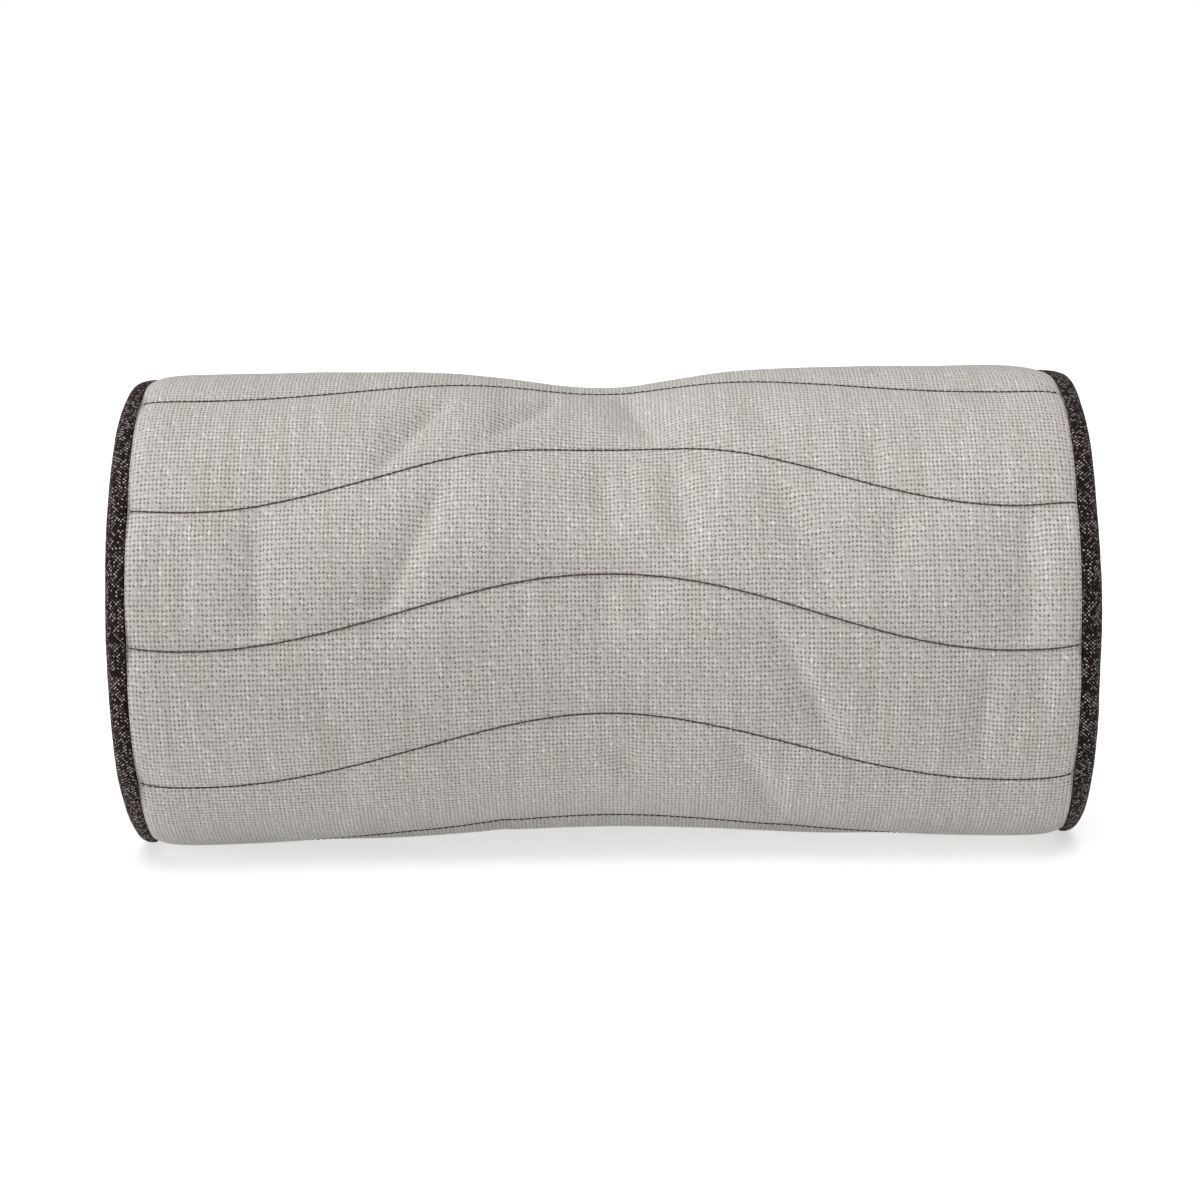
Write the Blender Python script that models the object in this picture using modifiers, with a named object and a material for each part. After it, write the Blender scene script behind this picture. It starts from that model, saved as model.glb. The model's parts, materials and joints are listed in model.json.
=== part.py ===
"""Quilted bolster pillow: a zipped cover over a cased foam roll, lying on a flat surface.

The roll lies along X and rests on the plane Z = 0, with the origin under its middle. Angles round the roll are in
degrees, start at the front (-Y) and grow upwards. A depth is a distance below the cover's outer surface.
"""

from collections import namedtuple
from math import atan2, copysign, cos, degrees, exp, hypot, pi, radians, sin

import bmesh
import bpy
from mathutils import Matrix, Vector

GAP = 0.0003  # between pieces that touch
LAYER_GAP = 0.0005  # between the layers of the quilt, and between the nested shells
WELD = 0.00001

# The roll's outer form
BODY_RADIUS = 0.099
SEAM_REACH = 0.187  # from the middle of the roll to each end seam
REST_SAG = 0.003  # how far the roll flattens where it rests
WAIST_DEPTH = 0.0065
WAIST_SPREAD = 0.042
AXIS_HEIGHT = BODY_RADIUS - REST_SAG

# The quilting pattern: evenly spaced wavy lines
CHANNELS = 10
CHANNEL_ANGLE = 360 / CHANNELS
QUILT_FIRST_ANGLE = -1.5
QUILT_RISE = 19.5  # how far each line climbs round the roll at its middle
QUILT_PERIOD = 0.326
QUILT_GROOVE = 0.0018
GROOVE_WIDTH = 0.37  # half the groove's width, as a share of a channel
CHANNEL_STEPS = (0.0, 0.12, 0.37, 0.63, 0.88)
QUILT_THREAD_RADIUS = 0.0003

# The quilt's layers
FACE_THICKNESS = 0.001
WADDING_LOFT = 0.0055
WADDING_SEWN = 0.0012  # where the quilting thread squeezes it
WADDING_TRIM = 0.0015  # cut away beside the end seam
WADDING_REACH = SEAM_REACH - WADDING_TRIM
WADDING_DEPTH = FACE_THICKNESS + LAYER_GAP
BACKING_THICKNESS = 0.0005
PATTERN_STATIONS = 12

# The zip's coils and slider, in its own frame: half widths across it
COIL_RADIUS = 0.001
COIL_SIDES = 12
WEB_HALF_THICKNESS = 0.0004
RUN_CLEARANCE = 0.00025  # between the coils and the slider
COIL_DISTANCE = WEB_HALF_THICKNESS + RUN_CLEARANCE + COIL_RADIUS
FLANGE_THICKNESS = 0.0008
SLIDER_HALF_WIDTH = COIL_DISTANCE + COIL_RADIUS + RUN_CLEARANCE + FLANGE_THICKNESS
SLIDER_LENGTH = 0.008
SLIDER_TOP = 0.001
SLIDER_FOOT = 0.0008
ARCH_OUTER_REACH = 0.003
ARCH_INNER_HEIGHT = 0.002
ARCH_THICKNESS = 0.0008
ARCH_HALF_WIDTH = 0.0007
PULL_LENGTH = 0.022
PULL_HALF_WIDTH = 0.004
PULL_THICKNESS = 0.0009
PULL_EYE_LENGTH = 0.0043
PULL_EYE_HALF_WIDTH = ARCH_HALF_WIDTH + 0.0005
PULL_CORNER = 0.0015

# The zip's place: straight, midway between two quilting lines where they come closest at the back
ZIP_CHANNEL = 4
FREE_HALF_ANGLE = (CHANNEL_ANGLE - QUILT_RISE) / 2
ZIP_ANGLE = QUILT_FIRST_ANGLE + (ZIP_CHANNEL + 1) * CHANNEL_ANGLE - FREE_HALF_ANGLE
ZIP_STIFFENS = (10, 60)  # the waist starts and is full this far round from the zip
ZIP_END_MARGIN = 0.029  # from each end of the zip to the end seam
TACK_LENGTH = 0.008  # over which the slit closes
ZIP_OPENING_REACH = SEAM_REACH - ZIP_END_MARGIN
ZIP_TACK_REACH = ZIP_OPENING_REACH + TACK_LENGTH
SLIT_HALF_WIDTH = max(SLIDER_HALF_WIDTH, PULL_HALF_WIDTH) + GAP
FOLD_DISTANCE = SLIT_HALF_WIDTH + 0.003
ZIP_STITCH_DISTANCE = SLIT_HALF_WIDTH + 0.0015
RIM_MARGIN = 0.00225  # from the valley's rim to the closest quilting line
VALLEY_RIM_DISTANCE = BODY_RADIUS * radians(FREE_HALF_ANGLE) - RIM_MARGIN
WADDING_ZIP_DISTANCE = VALLEY_RIM_DISTANCE + 0.0012
VALLEY_DEPTH = 0.0045
VALLEY_RIM_DEPTH = 0.0008
VALLEY_END_SHARE = 0.35  # of its depth, left at the end seams
PINCH_DEPTH = 0.0012  # where a quilting line passes close to the zip
PINCH_REACH = 0.02
TAPE_THICKNESS = 0.0006
TAPE_INNER_EDGE = WEB_HALF_THICKNESS + 0.0004
TAPE_OUTER_EDGE = VALLEY_RIM_DISTANCE - 0.001
TAPE_TAIL = 0.002  # past each end of the opening
STOP_LENGTH = 0.002
STOP_HEIGHT = 2 * COIL_RADIUS - 0.0004

# The ends: a bias band rolled over a filler cord, and a domed panel inside it
CORD_RADIUS = 0.0026
CORD_SIDES = 8
CORD_DEPTH = 0.0022  # from the roll's surface
BAND_THICKNESS = 0.0009
BAND_REACH = 2 * CORD_RADIUS + BAND_THICKNESS + 0.0005  # along the roll, from the band's middle to its widest ring
BAND_DROP = 0.0095  # from the roll's surface in to the band's widest ring
BAND_FIRST_ANGLE = 103
BAND_LAST_ANGLE = -15
BAND_STEPS = 6
PANEL_THICKNESS = 0.0009
PANEL_BULGE = 0.0048
PANEL_STEPS = 4

# The inner cushion, nested in the quilt
QUILT_DEPTH = WADDING_DEPTH + WADDING_LOFT + LAYER_GAP + BACKING_THICKNESS
CASING_THICKNESS = 0.0005
CASING_CLEARANCE = 0.0021  # to the quilt, which is pinched in beside the zip
CASING_DEPTH = QUILT_DEPTH + CASING_CLEARANCE
CASING_REACH = WADDING_REACH
CASING_END_BULGE = 0.0105
WRAP_THICKNESS = 0.0095
WRAP_REACH = CASING_REACH - 0.0075
CORE_REACH = WRAP_REACH + 0.003
CORE_CHAMFER = 0.004

# The care label, sewn into the right end seam
LABEL_ANGLES = (224, 241)
LABEL_LENGTH = 0.024
LABEL_THICKNESS = 0.0006
LABEL_STEPS = (3, 4)

ROUND_STEPS = 36
INNER_STEPS = 30
BODY_STATIONS = 8

# Heights in the zip's own frame, from the roll's axis out
FOLD_ANGLE = FOLD_DISTANCE / BODY_RADIUS
TAPE_TOP = (BODY_RADIUS - VALLEY_DEPTH - FACE_THICKNESS) * cos(FOLD_ANGLE) - GAP
TAPE_BOTTOM = TAPE_TOP - TAPE_THICKNESS
COIL_HEIGHT = TAPE_TOP + GAP + COIL_RADIUS
SLIDER_TOP_BOTTOM = COIL_HEIGHT + COIL_RADIUS + GAP
SLIDER_TOP_TOP = SLIDER_TOP_BOTTOM + SLIDER_TOP
PULL_AXIS_HEIGHT = SLIDER_TOP_TOP + GAP + PULL_THICKNESS / 2 ** 0.5
STOP_REACH = ZIP_OPENING_REACH - STOP_LENGTH / 2
COIL_REACH = STOP_REACH - STOP_LENGTH / 2 - GAP
SLIDER_REST = COIL_REACH - SLIDER_LENGTH / 2

# One lengthwise line of a panel's mesh. line counts quilting lines round the roll; straight runs from 0, on the
# pattern, to 1, at zip_distance from the zip; sunk is its depth there and sewn how fully the thread squeezes it.
Column = namedtuple("Column", "line straight zip_distance sunk sewn")


def smooth_step(low, high, value):
    """0 below low, 1 above high, and a smooth climb between them."""
    share = min(max((value - low) / (high - low), 0.0), 1.0)
    return share * share * (3 - 2 * share)


def mix(first, second, share):
    return first + (second - first) * share


def waist(x, angle):
    """How far the roll is drawn in. The stiff zip keeps it straight at the back."""
    from_zip = abs((angle - ZIP_ANGLE + 180) % 360 - 180)
    return WAIST_DEPTH * exp(-0.5 * (x / WAIST_SPREAD) ** 2) * smooth_step(*ZIP_STIFFENS, from_zip)


def on_roll(x, angle, depth, sunk=0.0):
    """Point of the layer that lies at this depth, sunk further by stitching, with the waist and the resting flat."""
    radius = BODY_RADIUS - depth - sunk - waist(x, angle)
    height = AXIS_HEIGHT + radius * sin(radians(angle))
    return Vector((x, -radius * cos(radians(angle)), max(height, depth)))


def stitch_angle(line, x):
    rise = QUILT_RISE * (1 + cos(2 * pi * x / QUILT_PERIOD)) / 2
    return QUILT_FIRST_ANGLE + line * CHANNEL_ANGLE + rise


def sewn_share(line):
    """1 on a quilting line and 0 on the crown between two."""
    from_line = abs(line - round(line))
    return max(0.0, 1 - from_line / GROOVE_WIDTH) ** 2


def slit_closes(x):
    """How far each edge of the slit has come in to meet the other, past the zip's end."""
    return (SLIT_HALF_WIDTH - GAP) * smooth_step(ZIP_OPENING_REACH, ZIP_TACK_REACH, abs(x))


def column_angle(column, x):
    distance = column.zip_distance
    if abs(distance) < FOLD_DISTANCE:
        distance -= copysign(slit_closes(x), distance)
    turns = 360 if column.zip_distance < 0 else 0
    beside_zip = ZIP_ANGLE + turns + degrees(distance / BODY_RADIUS)
    return mix(stitch_angle(column.line, x), beside_zip, column.straight)


def column_sunk(column, x):
    """The valley beside the zip grows shallower towards the end seams, and a close quilting line flattens its rim."""
    if not column.straight:
        return column.sunk
    to_seam = smooth_step(ZIP_TACK_REACH, SEAM_REACH, abs(x))
    from_zip = radians(stitch_angle(column.line, x) - ZIP_ANGLE) % (2 * pi)
    spare = min(from_zip, 2 * pi - from_zip) * BODY_RADIUS - abs(column.zip_distance)
    pinch = mix(QUILT_GROOVE, PINCH_DEPTH, column.straight) * (1 - smooth_step(0, PINCH_REACH, spare))
    return max(column.sunk * mix(1, VALLEY_END_SHARE, to_seam), pinch)


def panel_columns(zip_edges):
    """Columns right round the roll, from one side of the zip to the other. zip_edges: (distance, sunk) pairs."""
    first = ZIP_CHANNEL + 1
    last = ZIP_CHANNEL + CHANNELS
    lines = [first + n + step for n in range(CHANNELS - 1) for step in CHANNEL_STEPS] + [last]
    after = [Column(first, 1.0, distance, sunk, 0.0) for distance, sunk in zip_edges]
    before = [Column(last, 1.0, -distance, sunk, 0.0) for distance, sunk in reversed(zip_edges)]
    outer_distance = zip_edges[-1][0]
    after.append(Column(first, 0.5, outer_distance, 0.0, 0.0))
    before.insert(0, Column(last, 0.5, -outer_distance, 0.0, 0.0))
    pattern = [Column(line, 0.0, outer_distance, QUILT_GROOVE * sewn_share(line), sewn_share(line)) for line in lines]
    return after + pattern + before


def stations(reach, count):
    return [mix(-reach, reach, n / count) for n in range(count + 1)]


def face_stations():
    """Places along the cover panel, with extra ones where the zip's slit closes."""
    return [-SEAM_REACH, -ZIP_TACK_REACH, *stations(ZIP_OPENING_REACH, PATTERN_STATIONS), ZIP_TACK_REACH, SEAM_REACH]


def hidden_stations():
    return [-WADDING_REACH, *stations(ZIP_OPENING_REACH, PATTERN_STATIONS), WADDING_REACH]


def linear_colour(hex_colour):
    """A colour as shaders take it, from its sRGB hex string."""
    values = [int(hex_colour[n : n + 2], 16) / 255 for n in (0, 2, 4)]
    return [*(v / 12.92 if v < 0.04045 else ((v + 0.055) / 1.055) ** 2.4 for v in values), 1.0]


def material(name, hex_colour, roughness, metallic=0.0):
    made = bpy.data.materials.new(name)
    made.use_nodes = True
    shader = made.node_tree.nodes["Principled BSDF"]
    shader.inputs["Base Color"].default_value = linear_colour(hex_colour)
    shader.inputs["Roughness"].default_value = roughness
    shader.inputs["Metallic"].default_value = metallic
    return made


def clear_scene():
    for obj in list(bpy.data.objects):
        bpy.data.objects.remove(obj)


def add_object(name, data, finish, collection):
    obj = bpy.data.objects.new(name, data)
    obj.data.materials.append(finish)
    collection.objects.link(obj)
    return obj


def add_wall(obj, thickness):
    """Thickness inwards from an open surface."""
    wall = obj.modifiers.new("Wall", "SOLIDIFY")
    wall.thickness = thickness
    wall.offset = -1
    wall.use_even_offset = True
    return wall


def applied(obj):
    """The object's evaluated mesh in world space, in place of its modifiers or its curve. Caps are welded on."""
    bpy.context.view_layer.update()
    graph = bpy.context.evaluated_depsgraph_get()
    mesh = bpy.data.meshes.new_from_object(obj.evaluated_get(graph))
    mesh.transform(obj.matrix_world)
    shape = bmesh.new()
    shape.from_mesh(mesh)
    bmesh.ops.remove_doubles(shape, verts=shape.verts, dist=WELD)
    shape.to_mesh(mesh)
    shape.free()
    name = obj.name
    collection = obj.users_collection[0]
    bpy.data.objects.remove(obj)
    made = bpy.data.objects.new(name, mesh)
    collection.objects.link(made)
    return made


def settle(obj):
    """Gives a straight, round piece the roll's waist and its resting flat."""
    for vertex in obj.data.vertices:
        x, y, z = vertex.co
        radius = hypot(y, z - AXIS_HEIGHT)
        angle = degrees(atan2(z - AXIS_HEIGHT, -y))
        vertex.co = on_roll(x, angle, BODY_RADIUS - radius)


def turned(name, profile, finish, collection, thickness=0.0, steps=ROUND_STEPS):
    """Solid, or shell of this thickness, turned about the roll's axis from (x, radius) points, then settled."""
    mesh = bpy.data.meshes.new(name)
    points = [(x, 0, radius) for x, radius in profile]
    mesh.from_pydata(points, [(n, n + 1) for n in range(len(points) - 1)], [])
    obj = add_object(name, mesh, finish, collection)
    obj.location.z = AXIS_HEIGHT
    turn = obj.modifiers.new("Turn", "SCREW")
    turn.axis = "X"
    turn.steps = turn.render_steps = steps
    turn.use_merge_vertices = True
    turn.merge_threshold = WELD
    turn.use_normal_flip = True
    if thickness:
        add_wall(obj, thickness)
    obj = applied(obj)
    settle(obj)
    obj.data.shade_smooth()
    obj.data.set_sharp_from_angle(angle=radians(40))
    return obj


def rolled(name, places, columns, depth_of, finish, collection):
    """Open surface from a flat grid wrapped round the roll, a column for each lengthwise line."""
    shape = bmesh.new()
    bmesh.ops.create_grid(shape, x_segments=len(places) - 1, y_segments=len(columns) - 1, size=0.5)
    for vertex in shape.verts:
        x = places[round((vertex.co.x + 0.5) * (len(places) - 1))]
        column = columns[round((vertex.co.y + 0.5) * (len(columns) - 1))]
        vertex.co = on_roll(x, column_angle(column, x), depth_of(column), column_sunk(column, x))
    mesh = bpy.data.meshes.new(name)
    shape.to_mesh(mesh)
    shape.free()
    mesh.shade_smooth()
    return add_object(name, mesh, finish, collection)


def make_cover_panel(finish, collection):
    edges = [
        (SLIT_HALF_WIDTH, VALLEY_DEPTH),
        (FOLD_DISTANCE, VALLEY_DEPTH),
        (VALLEY_RIM_DISTANCE, VALLEY_RIM_DEPTH),
    ]
    panel = rolled("cover_panel", face_stations(), panel_columns(edges), lambda column: 0.0, finish, collection)
    add_wall(panel, FACE_THICKNESS)


def backing_depth(column):
    return WADDING_DEPTH + mix(WADDING_LOFT, WADDING_SEWN, column.sewn) + LAYER_GAP


def make_cover_wadding(finish, collection):
    """The wadding is squeezed thin under each quilting line, which a vertex group carries to its wall."""
    columns = panel_columns([(WADDING_ZIP_DISTANCE, VALLEY_RIM_DEPTH)])
    places = hidden_stations()
    wadding = rolled("cover_wadding", places, columns, lambda column: WADDING_DEPTH, finish, collection)
    loft = wadding.vertex_groups.new(name="loft")
    for vertex in wadding.data.vertices:
        column = columns[vertex.index // len(places)]
        loft.add([vertex.index], 1 - column.sewn, "REPLACE")
    wall = add_wall(wadding, WADDING_LOFT)
    wall.vertex_group = loft.name
    wall.thickness_vertex_group = WADDING_SEWN / WADDING_LOFT


def make_cover_backing(finish, collection):
    columns = panel_columns([(WADDING_ZIP_DISTANCE, VALLEY_RIM_DEPTH)])
    backing = rolled("cover_backing", hidden_stations(), columns, backing_depth, finish, collection)
    add_wall(backing, BACKING_THICKNESS)


def thread(name, points, radius, finish, collection):
    curve = bpy.data.curves.new(name, "CURVE")
    curve.dimensions = "3D"
    curve.bevel_depth = radius
    curve.bevel_resolution = 0
    curve.use_fill_caps = True
    spline = curve.splines.new("POLY")
    spline.points.add(len(points) - 1)
    for spline_point, point in zip(spline.points, points):
        spline_point.co = (*point, 1)
    return add_object(name, curve, finish, collection)


def make_quilting_threads(finish, collection):
    """One thread in the bottom of each groove, from end seam to end seam."""
    depth = -GAP - QUILT_THREAD_RADIUS
    for number in range(CHANNELS):
        line = ZIP_CHANNEL + 1 + number
        points = [on_roll(x, stitch_angle(line, x), depth, QUILT_GROOVE) for x in face_stations()]
        thread(f"quilting_thread_{number + 1:02d}", points, QUILT_THREAD_RADIUS, finish, collection)


def band_point(side, angle, inset=0.0):
    """(x, radius) on the end band's rounded section."""
    x = SEAM_REACH + (BAND_REACH - inset) * cos(radians(angle))
    radius = BODY_RADIUS - BAND_DROP + (BAND_DROP - inset) * sin(radians(angle))
    return side * x, radius


def band_shift():
    """Puts the band's first edge at the end seam."""
    return GAP - BAND_REACH * cos(radians(BAND_FIRST_ANGLE))


def make_end(name, side, finishes, collection):
    """Band, filler cord and domed panel of one end; side is -1 on the left and 1 on the right."""
    angles = [mix(BAND_FIRST_ANGLE, BAND_LAST_ANGLE, n / BAND_STEPS) for n in range(BAND_STEPS + 1)]
    section = [band_point(side, angle) for angle in angles]
    profile = [(x + side * band_shift(), radius) for x, radius in section]
    in_order = profile if side > 0 else profile[::-1]
    turned(f"end_band_{name}", in_order, finishes["trim"], collection, BAND_THICKNESS)

    cord_x = SEAM_REACH + CORD_RADIUS + GAP * 2
    cord_ring = BODY_RADIUS - CORD_DEPTH - CORD_RADIUS
    bpy.ops.mesh.primitive_torus_add(
        major_radius=cord_ring,
        minor_radius=CORD_RADIUS,
        major_segments=ROUND_STEPS,
        minor_segments=CORD_SIDES,
        location=(side * cord_x, 0, AXIS_HEIGHT),
        rotation=(0, pi / 2, 0),
    )
    cord = bpy.context.object
    cord.name = f"end_cord_{name}"
    cord.data.materials.append(finishes["cord"])
    cord.users_collection[0].objects.unlink(cord)
    collection.objects.link(cord)
    settle(applied(cord))

    rim_x, rim_radius = profile[-1]
    rim_radius -= GAP + PANEL_THICKNESS
    dome = [
        (rim_x + side * PANEL_BULGE * (1 - (share * share)), rim_radius * share)
        for share in (1 - n / PANEL_STEPS for n in range(PANEL_STEPS + 1))
    ]
    in_order = dome if side > 0 else dome[::-1]
    turned(f"end_panel_{name}", in_order, finishes["trim"], collection, PANEL_THICKNESS)


def make_casing_and_core(finishes, collection):
    """The inner cushion: a calico casing, a fibre wrap and the foam roll."""
    radius = BODY_RADIUS - CASING_DEPTH
    tube = [(x, radius) for x in stations(CASING_REACH, BODY_STATIONS)]
    turned("casing_body", tube, finishes["calico"], collection, CASING_THICKNESS)
    for name, side in (("left", -1), ("right", 1)):
        rim_radius = radius - CASING_THICKNESS - LAYER_GAP
        shares = (1, 2 / 3, 1 / 3, 0)
        dome = [(side * (CASING_REACH + CASING_END_BULGE * (1 - s * s)), rim_radius * s) for s in shares]
        in_order = dome if side > 0 else dome[::-1]
        turned(f"casing_end_{name}", in_order, finishes["calico"], collection, CASING_THICKNESS)
    wrap_radius = radius - CASING_THICKNESS - 2 * LAYER_GAP
    wrap = [(x, wrap_radius) for x in stations(WRAP_REACH, BODY_STATIONS)]
    turned("fibre_wrap", wrap, finishes["fibre"], collection, WRAP_THICKNESS, INNER_STEPS)
    core_radius = wrap_radius - WRAP_THICKNESS - 2 * LAYER_GAP
    core = [(-CORE_REACH, 0), (-CORE_REACH, core_radius - CORE_CHAMFER)]
    core += [(x, core_radius) for x in stations(CORE_REACH - CORE_CHAMFER, BODY_STATIONS)]
    core += [(CORE_REACH, core_radius - CORE_CHAMFER), (CORE_REACH, 0)]
    turned("foam_core", core, finishes["foam"], collection, steps=INNER_STEPS)


def make_care_label(finish, collection):
    """A blank woven label lying on the cover, its end caught in the right end seam."""
    across, along = LABEL_STEPS
    shape = bmesh.new()
    bmesh.ops.create_grid(shape, x_segments=across, y_segments=along, size=0.5)
    for vertex in shape.verts:
        x = SEAM_REACH - GAP - LABEL_LENGTH * (0.5 - vertex.co.x)
        angle = mix(*LABEL_ANGLES, vertex.co.y + 0.5)
        vertex.co = on_roll(x, angle, -GAP - LABEL_THICKNESS)
    mesh = bpy.data.meshes.new("care_label")
    shape.to_mesh(mesh)
    shape.free()
    add_wall(add_object("care_label", mesh, finish, collection), LABEL_THICKNESS)


def make_zip_frame(collection):
    """Empty on the roll's axis whose Z points out through the zip and whose Y points down across it."""
    frame = bpy.data.objects.new("zip_frame", None)
    frame.location.z = AXIS_HEIGHT
    frame.rotation_euler.x = radians(90 - ZIP_ANGLE)
    collection.objects.link(frame)
    bpy.context.view_layer.update()
    return frame


def box(name, low, high, finish, frame, collection):
    """Box between two corners in the zip's frame."""
    shape = bmesh.new()
    bmesh.ops.create_cube(shape, size=1)
    low, high = Vector(low), Vector(high)
    for vertex in shape.verts:
        vertex.co = [mix(a, b, c + 0.5) for a, b, c in zip(low, high, vertex.co)]
    mesh = bpy.data.meshes.new(name)
    shape.to_mesh(mesh)
    shape.free()
    obj = add_object(name, mesh, finish, collection)
    obj.parent = frame
    return obj


def make_zip_rows(finishes, frame, collection):
    """Tape, coil and topstitching above and below the zip's line, and the stops at its two ends."""
    for name, side in (("upper", -1), ("lower", 1)):
        inner, outer = sorted((side * TAPE_INNER_EDGE, side * TAPE_OUTER_EDGE))
        low = (-ZIP_OPENING_REACH - TAPE_TAIL, inner, TAPE_BOTTOM)
        high = (ZIP_OPENING_REACH + TAPE_TAIL, outer, TAPE_TOP)
        box(f"zip_tape_{name}", low, high, finishes["tape"], frame, collection)

        bpy.ops.mesh.primitive_cylinder_add(
            vertices=COIL_SIDES, radius=COIL_RADIUS, depth=2 * COIL_REACH, rotation=(0, pi / 2, 0)
        )
        coil = bpy.context.object
        coil.name = f"zip_coil_{name}"
        coil.data.materials.append(finishes["coil"])
        coil.users_collection[0].objects.unlink(coil)
        collection.objects.link(coil)
        coil.parent = frame
        coil.location = (0, side * COIL_DISTANCE, COIL_HEIGHT)

        places = stations(ZIP_OPENING_REACH, 1)
        angle = ZIP_ANGLE + side * degrees(ZIP_STITCH_DISTANCE / BODY_RADIUS)
        points = [on_roll(x, angle, -GAP - QUILT_THREAD_RADIUS, VALLEY_DEPTH) for x in places]
        thread(f"zip_stitching_{name}", points, QUILT_THREAD_RADIUS, finishes["thread"], collection)
    for name, side in (("bottom", -1), ("top", 1)):
        ends = sorted((side * (STOP_REACH - STOP_LENGTH / 2), side * (STOP_REACH + STOP_LENGTH / 2)))
        half_width = COIL_DISTANCE + COIL_RADIUS
        low = (ends[0], -half_width, TAPE_TOP + GAP)
        high = (ends[1], half_width, TAPE_TOP + GAP + STOP_HEIGHT)
        box(f"zip_{name}_stop", low, high, finishes["metal"], frame, collection)


def plate(name, outlines, half_thickness, matrix, finish, collection):
    """Flat piece from closed outlines, the later ones being holes, as a mesh placed by the matrix."""
    curve = bpy.data.curves.new(name, "CURVE")
    curve.dimensions = "2D"
    curve.fill_mode = "BOTH"
    curve.extrude = half_thickness
    for outline in outlines:
        spline = curve.splines.new("POLY")
        spline.points.add(len(outline) - 1)
        for spline_point, (x, y) in zip(spline.points, outline):
            spline_point.co = (x, y, 0, 1)
        spline.use_cyclic_u = True
    obj = add_object(name, curve, finish, collection)
    obj.matrix_world = matrix
    return applied(obj)


def mirrored(half):
    """A closed outline from the half of it that has y above 0."""
    return half + [(x, -y) for x, y in reversed(half)]


def slider_section():
    """The slider's section across the zip, as (across, height) points: top, flanges, web and foot."""
    flange = SLIDER_HALF_WIDTH - FLANGE_THICKNESS
    foot_top = TAPE_BOTTOM - GAP
    half = [
        (SLIDER_TOP_TOP, SLIDER_HALF_WIDTH),
        (TAPE_TOP + GAP, SLIDER_HALF_WIDTH),
        (TAPE_TOP + GAP, flange),
        (SLIDER_TOP_BOTTOM, flange),
        (SLIDER_TOP_BOTTOM, WEB_HALF_THICKNESS),
        (foot_top, WEB_HALF_THICKNESS),
        (foot_top, flange),
        (foot_top - SLIDER_FOOT, flange),
    ]
    return [(across, height) for height, across in mirrored(half)]


def arch_side():
    """The arch that holds the pull, as (along, height) points from the slider's top; its feet run into the slider."""
    root = -SLIDER_TOP / 2
    inner_reach = ARCH_OUTER_REACH - ARCH_THICKNESS
    shoulder = ARCH_INNER_HEIGHT - ARCH_THICKNESS / 2
    outer_top = ARCH_INNER_HEIGHT + ARCH_THICKNESS
    outer = [(-ARCH_OUTER_REACH, root), (-ARCH_OUTER_REACH, shoulder), (ARCH_THICKNESS - ARCH_OUTER_REACH, outer_top)]
    inner = [(-inner_reach, root), (-inner_reach, shoulder - ARCH_THICKNESS / 2)]
    inner.append((ARCH_THICKNESS - inner_reach, ARCH_INNER_HEIGHT))
    across = [(-along, height) for along, height in reversed(outer)]
    back = [(-along, height) for along, height in inner]
    return outer + across + back + inner[::-1]


def make_slider(finish, frame, collection, cutters):
    """The slider: a section swept along the zip, joined to the arch for its pull."""
    along_zip = Matrix(((0, 0, 1, SLIDER_REST), (1, 0, 0, 0), (0, 1, 0, 0), (0, 0, 0, 1)))
    slider = plate(
        "zip_slider", [slider_section()], SLIDER_LENGTH / 2, frame.matrix_world @ along_zip, finish, collection
    )
    across_zip = Matrix.Translation((SLIDER_REST, 0, SLIDER_TOP_TOP)) @ Matrix.Rotation(pi / 2, 4, "X")
    arch = plate("slider_arch", [arch_side()], ARCH_HALF_WIDTH, frame.matrix_world @ across_zip, finish, cutters)
    arch.hide_render = True
    arch.display_type = "WIRE"
    join = slider.modifiers.new("Arch", "BOOLEAN")
    join.operation = "UNION"
    join.object = arch


def make_pull(finish, frame, collection):
    """The pull: a flat tab with an eye whose end bar turns under the slider's arch. It lies along -X."""
    bar = PULL_THICKNESS / 2
    eye_wall = PULL_EYE_HALF_WIDTH + 2 * bar
    tab_start = -PULL_EYE_LENGTH
    half = [
        (bar, eye_wall),
        (tab_start, eye_wall),
        (tab_start - PULL_CORNER, PULL_HALF_WIDTH),
        (PULL_CORNER - PULL_LENGTH, PULL_HALF_WIDTH),
        (-PULL_LENGTH, PULL_HALF_WIDTH - PULL_CORNER),
    ]
    eye = mirrored([(-bar, PULL_EYE_HALF_WIDTH), (tab_start, PULL_EYE_HALF_WIDTH)])
    place = frame.matrix_world @ Matrix.Translation((SLIDER_REST, 0, PULL_AXIS_HEIGHT))
    pull = plate("zip_pull", [mirrored(half), eye], bar, place, finish, collection)
    # The origin goes on the hinge axis, which is the middle of the eye's end bar.
    pull.data.transform(place.inverted())
    pull.matrix_world = place


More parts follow.
